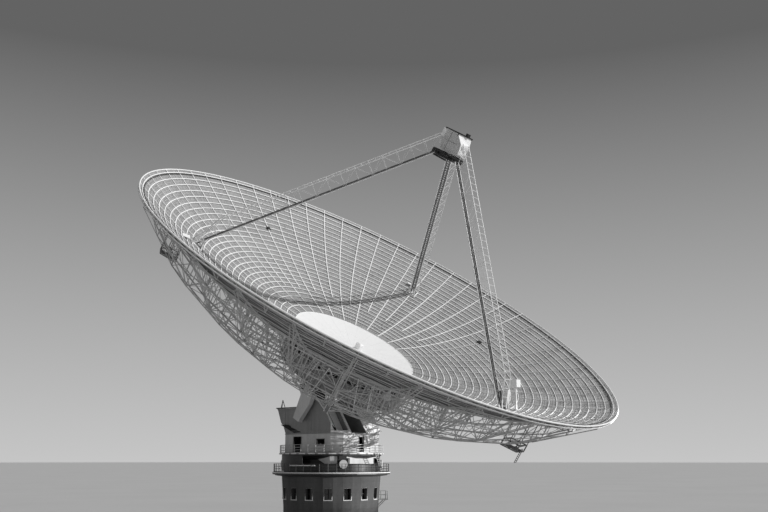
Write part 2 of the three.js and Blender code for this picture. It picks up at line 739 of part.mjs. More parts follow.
// The foot of a leg stands on a pad that follows the slope of the dish
function legPad(angle) {
  const slope = Math.atan(footRadius / (2 * focalLength));
  const geometry = new THREE.BoxGeometry(pad.length, pad.width, pad.thickness);
  geometry.translate(0, 0, pad.thickness / 2);
  geometry.rotateY(-slope);
  geometry.translate(footRadius, 0, skinTop(footRadius) + pad.lift);
  geometry.rotateZ(angle * degree);
  return solid(geometry);
}

// The post that stands upright when the dish is at rest, with its instrument box on top
function instrumentPost() {
  const { x, y, height, post: width, box: size, besideRail } = instrument;
  const upright = new THREE.Vector3(0, Math.sin(tilt), Math.cos(tilt));
  const base = new THREE.Vector3(x, y, skinTop(Math.hypot(x, y)));
  const across = new THREE.Vector3(1, 0, 0);
  const end = base.clone().addScaledVector(upright, height);
  const post = bar(base.clone().addScaledVector(upright, -0.3), end, width, width, across);
  const headBottom = end.clone().addScaledVector(upright, -0.02);
  const head = bar(headBottom, end.clone().addScaledVector(upright, size), size, size, across);
  const stations = [...discStations, ...skinStations, dishRadius];
  const surface = stations.map((radius) => [radius, skinTop(radius) + gap]);
  const bowl = revolved([[0, 0], [dishRadius, 0], ...surface.reverse()], dishFacets);
  return join(post, head).subtract(bowl).subtract(radialRail(besideRail, gap));
}

// The six-sided platform at the focus, with a side across the head of each leg
function feedPlatform(margin) {
  const bottom = vertexAboveAxis + platformBottom - margin;
  const radius = (platformHalfWidth + margin) / Math.cos(Math.PI / 6);
  return disc(radius, bottom, vertexAboveAxis + platformTop + margin, 6, 30);
}

function cabinBody() {
  const points = [];
  const bottom = platformTop + gap;
  for (const [height, scale] of [[bottom, cabinTaper], [cabinTop, 1]]) {
    for (const [sx, sy] of [[-1, -1], [1, -1], [1, 1], [-1, 1]]) {
      const [x, y] = [sx * cabinHalf.x * scale, sy * cabinHalf.y * scale];
      points.push(new THREE.Vector3(x, y, vertexAboveAxis + height));
    }
  }
  const geometry = new THREE.BoxGeometry(1, 1, 1);
  const position = geometry.attributes.position;
  for (let i = 0; i < position.count; i += 1) {
    const [x, y, z] = [position.getX(i), position.getY(i), position.getZ(i)];
    const corner = (z < 0 ? 0 : 4) + (y < 0 ? (x < 0 ? 0 : 1) : (x < 0 ? 3 : 2));
    position.setXYZ(i, points[corner].x, points[corner].y, points[corner].z);
  }
  return solid(geometry);
}

function buildDish(group) {
  const frame = backingFrame();
  const innerFrame = frame.intersect(disc(frameSplice, -10, 40, ribCount, ribOffset + 90));
  const outerFrame = frame.subtract(disc(frameSplice + gap, -10, 40, ribCount, ribOffset + 90));
  const skinProfile = dishSkin(skinStations);
  skinProfile.push(skinProfile[0]);
  const rails = Array.from({ length: rail.count }, (_, i) => radialRail(i));
  const skin = join(revolved(skinProfile, dishFacets), rails);
  sectorStarts.forEach((start, i) => {
    const part = wedge(start, sectorAngle, 50);
    piece(group, `inner_frame_${i + 1}`, innerFrame.intersect(part), galvanized);
    piece(group, `outer_frame_${i + 1}`, outerFrame.intersect(part), galvanized);
    piece(group, `mesh_sector_${i + 1}`, skin.intersect(part), galvanized);
  });
  const centre = revolved(dishSkin([...discStations, discRadius - gap]), dishFacets);
  piece(group, "centre_disc", centre, whitePaint);
  const rimBottom = dishHeight(dishRadius) - 0.22;
  const rim = ring(dishRadius - 0.3 + gap, dishRadius, rimBottom, rimBottom + 0.3, dishFacets);
  piece(group, "rim_tube", rim, whitePaint);
  piece(group, "hub_drum", hubDrum(), greyPaint);
  piece(group, "tilt_yoke", yoke(), darkSteel);
  piece(group, "counterweight_left", counterweight(-1), greyPaint);
  piece(group, "counterweight_right", counterweight(1), greyPaint);
  const leg = join(tripodLeg(footAngles[0]), legPad(footAngles[0])).subtract(feedPlatform(gap));
  footAngles.forEach((angle, i) => {
    piece(group, `tripod_leg_${i + 1}`, leg, galvanized, angle - footAngles[0]);
  });
  piece(group, "feed_platform", feedPlatform(0), darkSteel);
  piece(group, "focus_cabin", cabinBody(), whitePaint);
  piece(group, "instrument_post", instrumentPost(), whitePaint);
  const boxBottom = skinTop(Math.hypot(vertexBox.x1, vertexBox.y0)) + gap;
  const { x0, x1, y0, y1, height } = vertexBox;
  piece(group, "vertex_box", box(x0, x1, y0, y1, boxBottom, boxBottom + height), whitePaint);
}

const telescope = new THREE.Group();
const tower = new THREE.Group();
buildTower(tower);
telescope.add(tower);

const turret = new THREE.Group();
buildTurret(turret);
bogieAngles().forEach((angle, i) => {
  piece(turret, `track_roller_${i + 1}`, rollerWheel(angle), darkSteel);
});
telescope.add(turret);

const dish = new THREE.Group();
buildDish(dish);
dish.position.z = tiltAxisHeight * modelMillimetres;
dish.rotation.x = tilt;
telescope.add(dish);

export default telescope;
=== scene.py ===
# Radio telescope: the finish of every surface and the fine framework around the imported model.
# Sizes are real ones in metres. place_on_dish and place_on_ground bring them to the half-size model.
import json
import math

import bmesh
import bpy
from mathutils import Matrix, Vector


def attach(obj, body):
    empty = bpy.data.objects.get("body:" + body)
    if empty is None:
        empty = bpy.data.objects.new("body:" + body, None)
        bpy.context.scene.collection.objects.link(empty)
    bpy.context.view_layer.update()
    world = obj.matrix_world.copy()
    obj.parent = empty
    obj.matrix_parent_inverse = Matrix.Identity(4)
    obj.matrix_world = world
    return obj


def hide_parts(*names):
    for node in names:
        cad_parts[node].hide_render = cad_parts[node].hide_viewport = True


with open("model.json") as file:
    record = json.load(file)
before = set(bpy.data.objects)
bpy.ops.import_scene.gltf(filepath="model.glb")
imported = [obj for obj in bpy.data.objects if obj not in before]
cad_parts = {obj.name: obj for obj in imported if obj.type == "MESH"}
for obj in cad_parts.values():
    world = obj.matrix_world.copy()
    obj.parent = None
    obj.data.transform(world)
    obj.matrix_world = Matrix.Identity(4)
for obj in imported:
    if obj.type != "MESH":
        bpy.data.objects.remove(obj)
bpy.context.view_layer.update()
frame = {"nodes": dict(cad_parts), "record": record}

# Place of the drawings in the model. The tower is drawn standing on the ground, and the dish
# upright, with the tilt axis at its origin.
MODEL_SCALE = 0.5
TILT = math.radians(35)
TILT_AXIS_HEIGHT = 22.5
place_on_ground = Matrix.Scale(MODEL_SCALE, 4)
place_on_dish = (place_on_ground @ Matrix.Translation((0, 0, TILT_AXIS_HEIGHT))
                 @ Matrix.Rotation(TILT, 4, "X"))

# Dish
DISH_RADIUS = 32
FOCAL_LENGTH = 26.9
VERTEX_HEIGHT = 6
DISC_RADIUS = 8.14
RIB_COUNT = 30
RIB_FIRST = 6
RIB_STATIONS = (8.2, 11, 14, 17, 20, 23, 26, 28.8, 31.4)
SWAY_STATIONS = (14, 20, 26)
PROP_STATIONS = (12.5, 15.5, 18.5, 21.5, 24.5, 27.4)
DEPTH_STATIONS = (8.14, 10.2, 12, 14, 20, 26, 31.5)
DEPTHS = (4.55, 4.57, 4.85, 5.05, 4.2, 3.1, 0.7)
UPPER_CHORD_WIDTH = 0.11
UPPER_CHORD_DROP = 0.3
LOWER_CHORD_WIDTH = 0.085
LOWER_CHORD_HALF_GAP = 0.2
POST_WIDTH = 0.075
DIAGONAL_WIDTH = 0.065
SWAY_WIDTH = 0.055
TIE_WIDTH = 0.05
RAIL_COUNT = 26
FIRST_RAIL_RADIUS = 9.5
RAIL_SPACING = 0.926
RAIL_CLOSING = 0.002
RADIAL_RAIL_LIFT = 0.12
RADIAL_RAIL_WIDTH = 0.13
SHORT_RAIL_START = 13.4
SHADED_RAILS = 6
WIRES_PER_RAIL = 3
WIRE_WIDTH = 0.035
MESH_THICKNESS = 0.03
RIM_PANELS = 150
LOWER_RIM_DROP = 0.38
INNER_RIM_INSET = 0.8
BRACKET_INSET = 1.6

# Hub
HUB_BANDS = ((2.05, 0.14), (3.7, 0.09), (6.35, 0.14))
# Black bars along the drum's top, as painted shade of the gaps there
HUB_GAP_SHADE_MARKS = 52
HUB_GAP_SHADE_HEIGHT = 4.45
HUB_STRUT_RADIUS = 14
HUB_STRUT_ANGLE = 222.5
HUB_ROD_RADIUS = 11
HUB_RODS = (((205.9, 5.9), (201.9, 2.5)), ((213.6, 5.9), (209.3, 1.6)),
            ((232.2, 6.25), (238.7, 1.9)), ((242.1, 6.0), (246.5, 2.8)))
HUB_LINES = (((224.6, 2.06), (233.6, 5.55)), ((207.1, 7.5), (219.5, 6.3)),
             ((213.6, 5.9), (224, 3.8)))

# Tripod
FOOT_RADIUS = 23.2
FOOT_FIRST = -90
NEAR_PLATFORM_ANGLE = -87
PLATFORM_RADII = (24.7, 25.7, 26.7)
LEG_HEAD_RADIUS = 1.55
LEG_HEAD_HEIGHT = 33.1
LEG_DEPTH = 1.7
LEG_TIP_DEPTH = 0.35
LEG_HALF_WIDTH = 0.55
LEG_TUBE_HALF_GAP = 0.2
LEG_PANELS = 34
LEG_END = 1.042
PAD_TOP = 0.36
CABIN_TOP = 36
PLATFORM_BOTTOM = 32.7
PLATFORM_TOP = 33.35
CABIN_LEFT = ((1.1, 35.95), (-1.15, 36), (-2.1, 35), (-2.3, 33.8), (-1.15, 33.4), (0.6, 33.6))
CABIN_RIGHT = ((1.1, 35.95), (-1.2, 36), (-1.5, 35.15), (-1.5, 33.9), (-1.0, 33.4), (0.6, 33.6))

# Tower and turret
TOWER_RADIUS = 5.9
WINDOW_COUNT = 16
WINDOW_FIRST = -4.4
WINDOW_SILLS = (1.3, 5.12, 8.93)
WINDOW_WIDTH = 0.88
WINDOW_HEIGHT = 1.36
DOOR_ANGLE = 85.6
WALL_TOP = 11.85
GALLERY_RADIUS = 7.35
SLAB_TOP = 12.15
TRACK_TOP = 12.3506
DECK_TOP = 14.4012
ROOF_TOP = 16.8018
HOUSING_X = 4.3
HOUSING_FRONT = -5.05
HOUSING_REAR = 4
HOUSING_CORNER = 1.1
ROOM_CORNER = 8.1
RAILING_HEIGHT = 1.0
LADDER_ANGLE = -78.75
ROLLER_ANGLES = (-123, -57, 57, 123)
CHEEK_OUTSIDE = 4.3
REAR_OUTSIDE = 4.005
REAR_ROOF = 20.06
SKIRT_TOP = DECK_TOP - 0.28
SKIRT_BOTTOM = 13.1

# Camera and light, in the half-size model's metres
CAMERA_LENS = 41.19
CAMERA_PLACE = (-40.81, -39.69, 6.726)
CAMERA_RIGHT = (0.6545, -0.7561, 0)
CAMERA_FORWARD = (0.7363, 0.6374, 0.2272)
CAMERA_REACH = 20000
SUN_STRENGTH = 3.0
SUN_SPREAD = math.radians(0.8)
SUN_HEIGHT = math.radians(34.5)
SUN_ANGLE = 300
LOW_LIGHT_STRENGTH = 75000
LOW_LIGHT_CONE = math.radians(11)
LOW_LIGHT_BLEND = 0.6
LOW_LIGHT_SIZE = 0.12
LOW_LIGHT_AIM = Vector((0, -2.4, 6.8))
LOW_LIGHT_DISTANCE = 40
LOW_LIGHT_HEIGHT = math.radians(4.5)
LOW_LIGHT_ANGLE = 296
SKY_PALE = 0.56
SKY_DARK = 0.125
SKY_DARK_HEIGHT = 0.43
FLOOR_REACH = 4000
FLOOR_DROP = 0.002

# Sections and shading
SQUARE_GIRTH = 0.7071
SHARP_CORNER = math.radians(30)


def dish_height(radius):
    return VERTEX_HEIGHT + radius * radius / (4 * FOCAL_LENGTH)


def between(value, starts, results):
    """The result at value, on straight lines between the given points."""
    for i in range(len(starts) - 1):
        if value <= starts[i + 1] or i == len(starts) - 2:
            share = (value - starts[i]) / (starts[i + 1] - starts[i])
            return results[i] + share * (results[i + 1] - results[i])


LOWER_HEIGHTS = [dish_height(r) - d for r, d in zip(DEPTH_STATIONS, DEPTHS)]


def upper_height(radius):
    return dish_height(radius) - UPPER_CHORD_DROP


def lower_height(radius):
    return between(radius, DEPTH_STATIONS, LOWER_HEIGHTS) + 0.12


def at(radius, degrees, height):
    angle = math.radians(degrees)
    return Vector((radius * math.cos(angle), radius * math.sin(angle), height))


# Finishes
def add(tree, kind, links=(), **settings):
    """A new node. links are (input, value or socket) pairs, settings are the node's own choices."""
    made = tree.nodes.new(kind)
    for name, value in settings.items():
        setattr(made, name, value)
    for name, value in links:
        if isinstance(value, bpy.types.NodeSocket):
            tree.links.new(value, made.inputs[name])
        else:
            made.inputs[name].default_value = value
    return made


def noise(tree, place, scale, detail=4.0, stretch=(1, 1, 1)):
    mapping = add(tree, "ShaderNodeMapping", [("Vector", place), ("Scale", stretch)])
    return add(tree, "ShaderNodeTexNoise",
               [("Vector", mapping.outputs[0]), ("Scale", scale), ("Detail", detail)]).outputs["Fac"]


def spread(tree, value, low, high, start=0.3, end=0.7):
    return add(tree, "ShaderNodeMapRange",
               [("Value", value), ("From Min", start), ("From Max", end),
                ("To Min", low), ("To Max", high)]).outputs[0]


def combined(tree, first, second, operation="MULTIPLY"):
    """The product of two values or sockets, or the result of another sum."""
    return add(tree, "ShaderNodeMath", [(0, first), (1, second)], operation=operation).outputs[0]


def finish(name, tone, roughness=0.5, metallic=0.0, mottle=0.12, mottle_scale=0.6, streaks=0.0,
           grit=0.15, grit_scale=40.0, joints=None, alpha=None):
    """A painted, galvanized or cast surface: a grey tone with patches, rain streaks and fine grit."""
    material = bpy.data.materials.new(name)
    material.use_nodes = True
    tree = material.node_tree
    shader = tree.nodes["Principled BSDF"]
    place = add(tree, "ShaderNodeTexCoord").outputs["Object"]
    shade = spread(tree, noise(tree, place, mottle_scale, 5.0), 1 - mottle, 1 + mottle)
    fine = spread(tree, noise(tree, place, mottle_scale * 14, 3.0), 1 - mottle / 2, 1 + mottle / 2)
    shade = combined(tree, shade, fine)
    if streaks:
        rain = noise(tree, place, 2.2, 3.0, (1, 1, 0.08))
        shade = combined(tree, shade, spread(tree, rain, 1 - streaks, 1, 0.35, 0.6))
    if joints:
        # Casting joints at a regular height
        height = add(tree, "ShaderNodeSeparateXYZ", [(0, place)]).outputs["Z"]
        share = combined(tree, combined(tree, height, 1 / joints), 0, "FRACT")
        shade = combined(tree, shade, spread(tree, share, 0.8, 1, 0, 0.05))
    mix = add(tree, "ShaderNodeVectorMath", [(0, (tone, tone, tone)), ("Scale", shade)],
              operation="SCALE")
    tree.links.new(mix.outputs[0], shader.inputs["Base Color"])
    grain = noise(tree, place, grit_scale, 4.0)
    rough = spread(tree, grain, max(0.05, roughness - 0.1), min(1, roughness + 0.1))
    tree.links.new(rough, shader.inputs["Roughness"])
    shader.inputs["Metallic"].default_value = metallic
    bump = add(tree, "ShaderNodeBump", [("Height", grain), ("Strength", grit), ("Distance", 0.01)])
    tree.links.new(bump.outputs[0], shader.inputs["Normal"])
    if alpha is not None:
        low, high = alpha
        cover = spread(tree, noise(tree, place, 0.35, 4.0), low, high)
        tree.links.new(cover, shader.inputs["Alpha"])
    return material


rail_white = finish("rail_white", 0.88, 0.75, mottle=0.06)
lattice_grey = finish("lattice_grey", 0.47, 0.5, 0.15, mottle=0.16, mottle_scale=0.4)
strut_light = finish("strut_light", 0.9, 0.5, mottle=0.1)
leg_grey = finish("leg_grey", 0.16, 0.5, 0.2, mottle=0.14)
leg_light = finish("leg_light", 0.85, 0.5, 0.1, mottle=0.1)
mesh_panel = finish("mesh_panel", 0.46, 0.85, mottle=0.14, mottle_scale=0.25, alpha=(0.36, 0.48))
wire_grey = finish("wire_grey", 0.5, 0.85, mottle=0.1)
disc_white = finish("disc_white", 0.9, 0.4, mottle=0.02, mottle_scale=0.3)
disc_seam = finish("disc_seam", 0.72, 0.4, mottle=0.03)
web_grey = finish("web_grey", 0.09, 0.6, mottle=0.1)
cabin_white = finish("cabin_white", 0.62, 0.35, mottle=0.06, streaks=0.08)
panel_white = finish("panel_white", 0.94, 0.3, mottle=0.03)
turret_grey = finish("turret_grey", 0.25, 0.5, mottle=0.1, streaks=0.16)
turret_white = finish("turret_white", 0.58, 0.5, mottle=0.1, streaks=0.16)
hub_grey = finish("hub_grey", 0.32, 0.5, 0.1, mottle=0.16, streaks=0.2)
dark_steel = finish("dark_steel", 0.035, 0.5, 0.3, mottle=0.3, mottle_scale=1.5)
# Near-black paint, used as painted shade in gaps, hollows and the turret room
painted_shade_black = finish("painted_shade_black", 0.01, 0.8, mottle=0.3)
tower_concrete = finish("tower_concrete", 0.085, 0.85, mottle=0.16, mottle_scale=0.5, streaks=0.22,
                        grit=0.35, grit_scale=24, joints=0.61)
pale_concrete = finish("pale_concrete", 0.5, 0.8, mottle=0.12, streaks=0.12, grit=0.3)
frame_pale = finish("frame_pale", 0.68, 0.6, mottle=0.08)
railing_grey = finish("railing_grey", 0.42, 0.45, 0.3, mottle=0.1)
# Near-black paint of the gallery's rails and slab, as painted shade
rail_dull = finish("rail_dull", 0.05, 0.5, 0.3, mottle=0.1)
counterweight_paint = finish("counterweight_paint", 0.6, 0.5, mottle=0.08, streaks=0.1)


def glass_finish():
    material = finish("window_glass", 0.012, 0.12, mottle=0.3, mottle_scale=1.2, grit=0.03, grit_scale=3)
    shader = material.node_tree.nodes["Principled BSDF"]
    shader.inputs["Coat Weight"].default_value = 0.5
    shader.inputs["Coat Roughness"].default_value = 0.05
    return material


window_glass = glass_finish()


# Trees
def tree_with(name, sockets):
    tree = bpy.data.node_groups.new(name, "GeometryNodeTree")
    for label, kind in sockets:
        tree.interface.new_socket(label, in_out="INPUT", socket_type=kind)
    tree.interface.new_socket("Piece", in_out="OUTPUT", socket_type="NodeSocketGeometry")
    return tree, tree.nodes.new("NodeGroupInput"), tree.nodes.new("NodeGroupOutput")


def thicken(tree, bars, given, lean=None):
    """Turns loose edges into bars as wide as their width attribute says, flat side along the dish."""
    curve = add(tree, "GeometryNodeMeshToCurve", [("Mesh", bars)]).outputs[0]
    curve = add(tree, "GeometryNodeSetCurveNormal", [("Curve", curve)], mode="Z_UP").outputs[0]
    if lean:
        curve = add(tree, "GeometryNodeSetCurveTilt", [("Curve", curve), ("Tilt", lean)]).outputs[0]
    width = add(tree, "GeometryNodeInputNamedAttribute", [("Name", "width")], data_type="FLOAT")
    circle = add(tree, "GeometryNodeCurvePrimitiveCircle",
                 [("Resolution", given.outputs["Sides"]), ("Radius", given.outputs["Girth"])])
    half_side = combined(tree, math.pi, given.outputs["Sides"], "DIVIDE")
    turn = add(tree, "ShaderNodeCombineXYZ", [("Z", half_side)])
    turned = add(tree, "GeometryNodeTransform",
                 [("Geometry", circle.outputs[0]), ("Rotation", turn.outputs[0])])
    flat = add(tree, "ShaderNodeCombineXYZ", [("X", 1.0), ("Y", given.outputs["Flatness"]), ("Z", 1.0)])
    section = add(tree, "GeometryNodeTransform",
                  [("Geometry", turned.outputs[0]), ("Scale", flat.outputs[0])])
    solid = add(tree, "GeometryNodeCurveToMesh",
                [("Curve", curve), ("Profile Curve", section.outputs[0]),
                 ("Scale", width.outputs[0]), ("Fill Caps", True)])
    shaded = add(tree, "GeometryNodeSetShadeSmooth",
                 [("Geometry", solid.outputs[0]), ("Shade Smooth", given.outputs["Smooth"])])
    return shaded.outputs[0]


def close_tree(tree, result, given, leaving):
    real = add(tree, "GeometryNodeRealizeInstances", [("Geometry", result)])
    painted = add(tree, "GeometryNodeSetMaterial",
                  [("Geometry", real.outputs[0]), ("Material", given.outputs["Material"])])
    tree.links.new(painted.outputs[0], leaving.inputs[0])


BAR_SOCKETS = [("Sides", "NodeSocketInt"), ("Girth", "NodeSocketFloat"),
               ("Flatness", "NodeSocketFloat"), ("Smooth", "NodeSocketBool"),
               ("Material", "NodeSocketMaterial")]


def framework_tree():
    """Repeats drawn bars round the vertical axis and gives each its thickness."""
    tree, given, leaving = tree_with("framework", [
        ("Bars", "NodeSocketGeometry"), ("Count", "NodeSocketInt"), ("Step", "NodeSocketFloat"),
        ("First Angle", "NodeSocketFloat"), ("Left Out", "NodeSocketInt"), *BAR_SOCKETS])
    places = add(tree, "GeometryNodeMeshLine",
                 [("Count", given.outputs["Count"]), ("Offset", (0, 0, 0))])
    index = add(tree, "GeometryNodeInputIndex").outputs[0]
    stepped = combined(tree, index, given.outputs["Step"])
    turned = combined(tree, stepped, given.outputs["First Angle"], "ADD")
    turn = add(tree, "ShaderNodeCombineXYZ", [("Z", turned)])
    kept = add(tree, "FunctionNodeCompare", data_type="INT", operation="NOT_EQUAL")
    tree.links.new(index, kept.inputs[2])
    tree.links.new(given.outputs["Left Out"], kept.inputs[3])
    copies = add(tree, "GeometryNodeInstanceOnPoints",
                 [("Points", places.outputs[0]), ("Selection", kept.outputs[0]),
                  ("Instance", given.outputs["Bars"]), ("Rotation", turn.outputs[0])])
    bars = add(tree, "GeometryNodeRealizeInstances", [("Geometry", copies.outputs[0])])
    close_tree(tree, thicken(tree, bars.outputs[0], given), given, leaving)
    return tree


def ring_rail_tree():
    """Rails in circles on the dish, each a little closer to the one before, at the parabola's height."""
    tree, given, leaving = tree_with("ring_rails", [
        ("Start", "NodeSocketGeometry"), ("Count", "NodeSocketInt"),
        ("Inner Radius", "NodeSocketFloat"), ("Spacing", "NodeSocketFloat"),
        ("Closing", "NodeSocketFloat"), ("Facets", "NodeSocketInt"), ("Focal Length", "NodeSocketFloat"),
        ("Vertex Height", "NodeSocketFloat"), ("Rail Width", "NodeSocketFloat"), *BAR_SOCKETS])
    places = add(tree, "GeometryNodeMeshLine",
                 [("Count", given.outputs["Count"]), ("Offset", (0, 0, 0))])
    index = add(tree, "GeometryNodeInputIndex").outputs[0]
    closer = combined(tree, index, given.outputs["Closing"])
    spacing = combined(tree, given.outputs["Spacing"], closer, "SUBTRACT")
    radius = combined(tree, combined(tree, index, spacing), given.outputs["Inner Radius"], "ADD")
    circle = add(tree, "GeometryNodeMeshCircle",
                 [("Vertices", given.outputs["Facets"]), ("Radius", 1.0)])
    copies = add(tree, "GeometryNodeInstanceOnPoints",
                 [("Points", places.outputs[0]), ("Instance", circle.outputs[0]),
                  ("Scale", radius)])
    real = add(tree, "GeometryNodeRealizeInstances", [("Geometry", copies.outputs[0])])
    position = add(tree, "GeometryNodeInputPosition").outputs[0]
    level = add(tree, "ShaderNodeVectorMath", [(0, position), (1, (1, 1, 0))], operation="MULTIPLY")
    out = add(tree, "ShaderNodeVectorMath", [(0, level.outputs[0])], operation="LENGTH").outputs["Value"]
    steep = combined(tree, out, combined(tree, given.outputs["Focal Length"], -2.0), "DIVIDE")
    lean = combined(tree, steep, 0.0, "ARCTANGENT")
    square = combined(tree, out, out)
    rise = combined(tree, square, combined(tree, given.outputs["Focal Length"], 4.0), "DIVIDE")
    height = combined(tree, rise, given.outputs["Vertex Height"], "ADD")
    lift = add(tree, "ShaderNodeCombineXYZ", [("Z", height)])
    raised = add(tree, "GeometryNodeSetPosition",
                 [("Geometry", real.outputs[0]), ("Offset", lift.outputs[0])])
    sized = add(tree, "GeometryNodeStoreNamedAttribute",
                [("Geometry", raised.outputs[0]), ("Name", "width"),
                 ("Value", given.outputs["Rail Width"])], data_type="FLOAT", domain="POINT")
    close_tree(tree, thicken(tree, sized.outputs[0], given, lean), given, leaving)
    return tree


framework = framework_tree()
ring_rails = ring_rail_tree()


# Pieces
def settle(piece, body, replaced=()):
    """The last step of every piece: its body and the nodes it stands for."""
    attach(piece, body)
    if replaced:
        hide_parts(*replaced)


def linked(name, data):
    thing = bpy.data.objects.new(name, data)
    bpy.context.scene.collection.objects.link(thing)
    return thing


def grown(name, start, tree, sizes, place):
    """Runs a tree on a start mesh and returns the finished piece as a plain mesh."""
    piece = linked(name, start)
    modifier = piece.modifiers.new("tree", "NODES")
    modifier.node_group = tree
    for socket in tree.interface.items_tree:
        if socket.in_out == "INPUT" and socket.name in sizes:
            modifier[socket.identifier] = sizes[socket.name]
    piece.update_tag()
    bpy.context.view_layer.update()
    evaluated = piece.evaluated_get(bpy.context.evaluated_depsgraph_get())
    mesh = bpy.data.meshes.new_from_object(evaluated)
    piece.modifiers.clear()
    piece.data = mesh
    mesh.transform(place)
    mesh.update()
    return piece


class Drawing:
    """Bars drawn as lines between points, each with its own width."""

    def __init__(self):
        self.points, self.edges, self.widths = [], [], []

    def line(self, points, width, closed=False):
        start = len(self.points)
        self.points += [Vector(p) for p in points]
        self.widths += [width] * len(points)
        self.edges += [(start + i, start + i + 1) for i in range(len(points) - 1)]
        if closed:
            self.edges.append((start + len(points) - 1, start))

    def bars(self, width, *pairs):
        for a, b in pairs:
            self.line((a, b), width)

    def zigzag(self, first, second, width):
        """Bars that run to and fro between two rows of points."""
        for i in range(len(first) - 1):
            pair = (first[i], second[i + 1]) if i % 2 else (second[i], first[i + 1])
            self.line(pair, width)

    def ladder(self, first, second, width):
        """A bar between each pair of points in two rows."""
        for a, b in zip(first, second):
            self.line((a, b), width)

    def frame(self, first, second, width, web):
        """Two rows of points as long bars, with rungs and a zigzag between them."""
        self.line(first, width)
        self.line(second, width)
        self.ladder(first, second, web)
        self.zigzag(first, second, web)

    def hoop(self, radius, height, width, facets=120, first=0.0):
        step = 360 / facets
        self.line([at(radius, first + step * i, height) for i in range(facets)], width, True)

    def mesh(self):
        mesh = bpy.data.meshes.new("drawing")
        mesh.from_pydata(self.points, self.edges, [])
        sizes = mesh.attributes.new("width", "FLOAT", "POINT")
        sizes.data.foreach_set("value", self.widths)
        return mesh


def built(name, drawing, material, place, body, slot, count=1, first=0.0, step=None, sides=4,
          flat=1.0, left_out=-1, replaced=()):
    """A framework piece: the drawing repeated round the axis, as bars of the given section."""
    girth = 0.5 / math.cos(math.pi / sides)
    sizes = {"Count": count, "Step": math.radians(step if step else 360 / count),
             "First Angle": math.radians(first), "Left Out": left_out, "Sides": sides,
             "Girth": girth, "Flatness": flat, "Smooth": sides > 4, "Material": material}
    piece = grown(name, drawing.mesh(), framework, sizes, place)
    settle(piece, body, replaced)


def on_dish(name, drawing, material, slot="galvanized_steel", **choices):
    built(name, drawing, material, place_on_dish, "dish", slot, **choices)


def on_turret(name, drawing, material, slot="galvanized_steel", **choices):
    built(name, drawing, material, place_on_ground, "turret", slot, **choices)


def on_tower(name, drawing, material, slot="galvanized_steel", **choices):
    built(name, drawing, material, place_on_ground, "tower", slot, **choices)


def steps(start, end, count):
    return [start + (end - start) * i / count for i in range(count + 1)]


def shade_round(shape, smooth=True):
    """Shades the round faces smooth and keeps the corners sharp."""
    for face in shape.faces:
        face.smooth = smooth
    for edge in shape.edges:
        edge.smooth = edge.calc_face_angle(0) < SHARP_CORNER


def formed(name, shape, materials, place, body, replaced=()):
    """Makes a piece of a shape that is complete."""
    mesh = bpy.data.meshes.new(name)
    shape.to_mesh(mesh)
    shape.free()
    mesh.transform(place)
    for material in materials:
        mesh.materials.append(material)
    settle(linked(name, mesh), body, replaced)


def boxes(name, parts, material, place, body, bevel=0.02, replaced=()):
    """Plates and blocks with eased edges. A part is its two far corners and its turn about Z."""
    shape = bmesh.new()
    for low, high, turn in parts:
        low, high = Vector(low), Vector(high)
        size = high - low
        where = Matrix.Rotation(math.radians(turn), 4, "Z") @ Matrix.Translation((low + high) / 2)
        bmesh.ops.create_cube(shape, size=1, matrix=where @ Matrix.Diagonal((*size, 1)))
    bmesh.ops.bevel(shape, geom=shape.edges[:], offset=bevel, segments=1, affect="EDGES")
    formed(name, shape, [material], place, body, replaced)


def slabs(name, outlines, material, place, body, replaced=()):
    """Flat plates. Each is an outline of (y, z) points, pushed from one x to another."""
    shape = bmesh.new()
    for outline, x0, x1 in outlines:
        ends = [[shape.verts.new((x, y, z)) for y, z in outline] for x in (x0, x1)]
        shape.faces.new(ends[0])
        shape.faces.new(reversed(ends[1]))
        for i in range(len(outline)):
            j = (i + 1) % len(outline)
            shape.faces.new((ends[0][i], ends[1][i], ends[1][j], ends[0][j]))
    bmesh.ops.recalc_face_normals(shape, faces=shape.faces[:])
    formed(name, shape, [material], place, body, replaced)


def revolved(name, profile, facets, material, place, body, replaced=(), smooth=True):
    """A closed ring or dish: a profile of (radius, height) points turned about the axis."""
    shape = bmesh.new()
    rings = []
    for i in range(facets):
        rings.append([shape.verts.new(at(r, 360 * i / facets, h)) for r, h in profile])
    for i in range(facets):
        here, there = rings[i], rings[(i + 1) % facets]
        for j in range(len(profile)):
            k = (j + 1) % len(profile)
            shape.faces.new((here[j], there[j], there[k], here[k]))
    bmesh.ops.remove_doubles(shape, verts=shape.verts[:], dist=1e-4)
    bmesh.ops.recalc_face_normals(shape, faces=shape.faces[:])
    shade_round(shape, smooth)
    formed(name, shape, [material], place, body, replaced)


def all_nodes(stem, count=3):
    return [f"{stem}_{i + 1}" for i in range(count)]


# Camera, light, sky and floor
def build_camera():
    data = bpy.data.cameras.new("camera")
    data.lens = CAMERA_LENS
    data.sensor_width = 36
    data.clip_end = CAMERA_REACH
    camera = linked("camera", data)
    right = Vector(CAMERA_RIGHT).normalized()
    forward = Vector(CAMERA_FORWARD).normalized()
    up = right.cross(forward).normalized()
    turn = Matrix((right, up, -forward)).transposed().to_4x4()
    camera.matrix_world = Matrix.Translation(CAMERA_PLACE) @ turn
    bpy.context.scene.camera = camera


def build_sun():
    data = bpy.data.lights.new("key_light", "SUN")
    data.energy = SUN_STRENGTH
    data.angle = SUN_SPREAD
    to_sun = at(math.cos(SUN_HEIGHT), SUN_ANGLE, math.sin(SUN_HEIGHT))
    linked("key_light", data).rotation_euler = to_sun.to_track_quat("Z", "Y").to_euler()


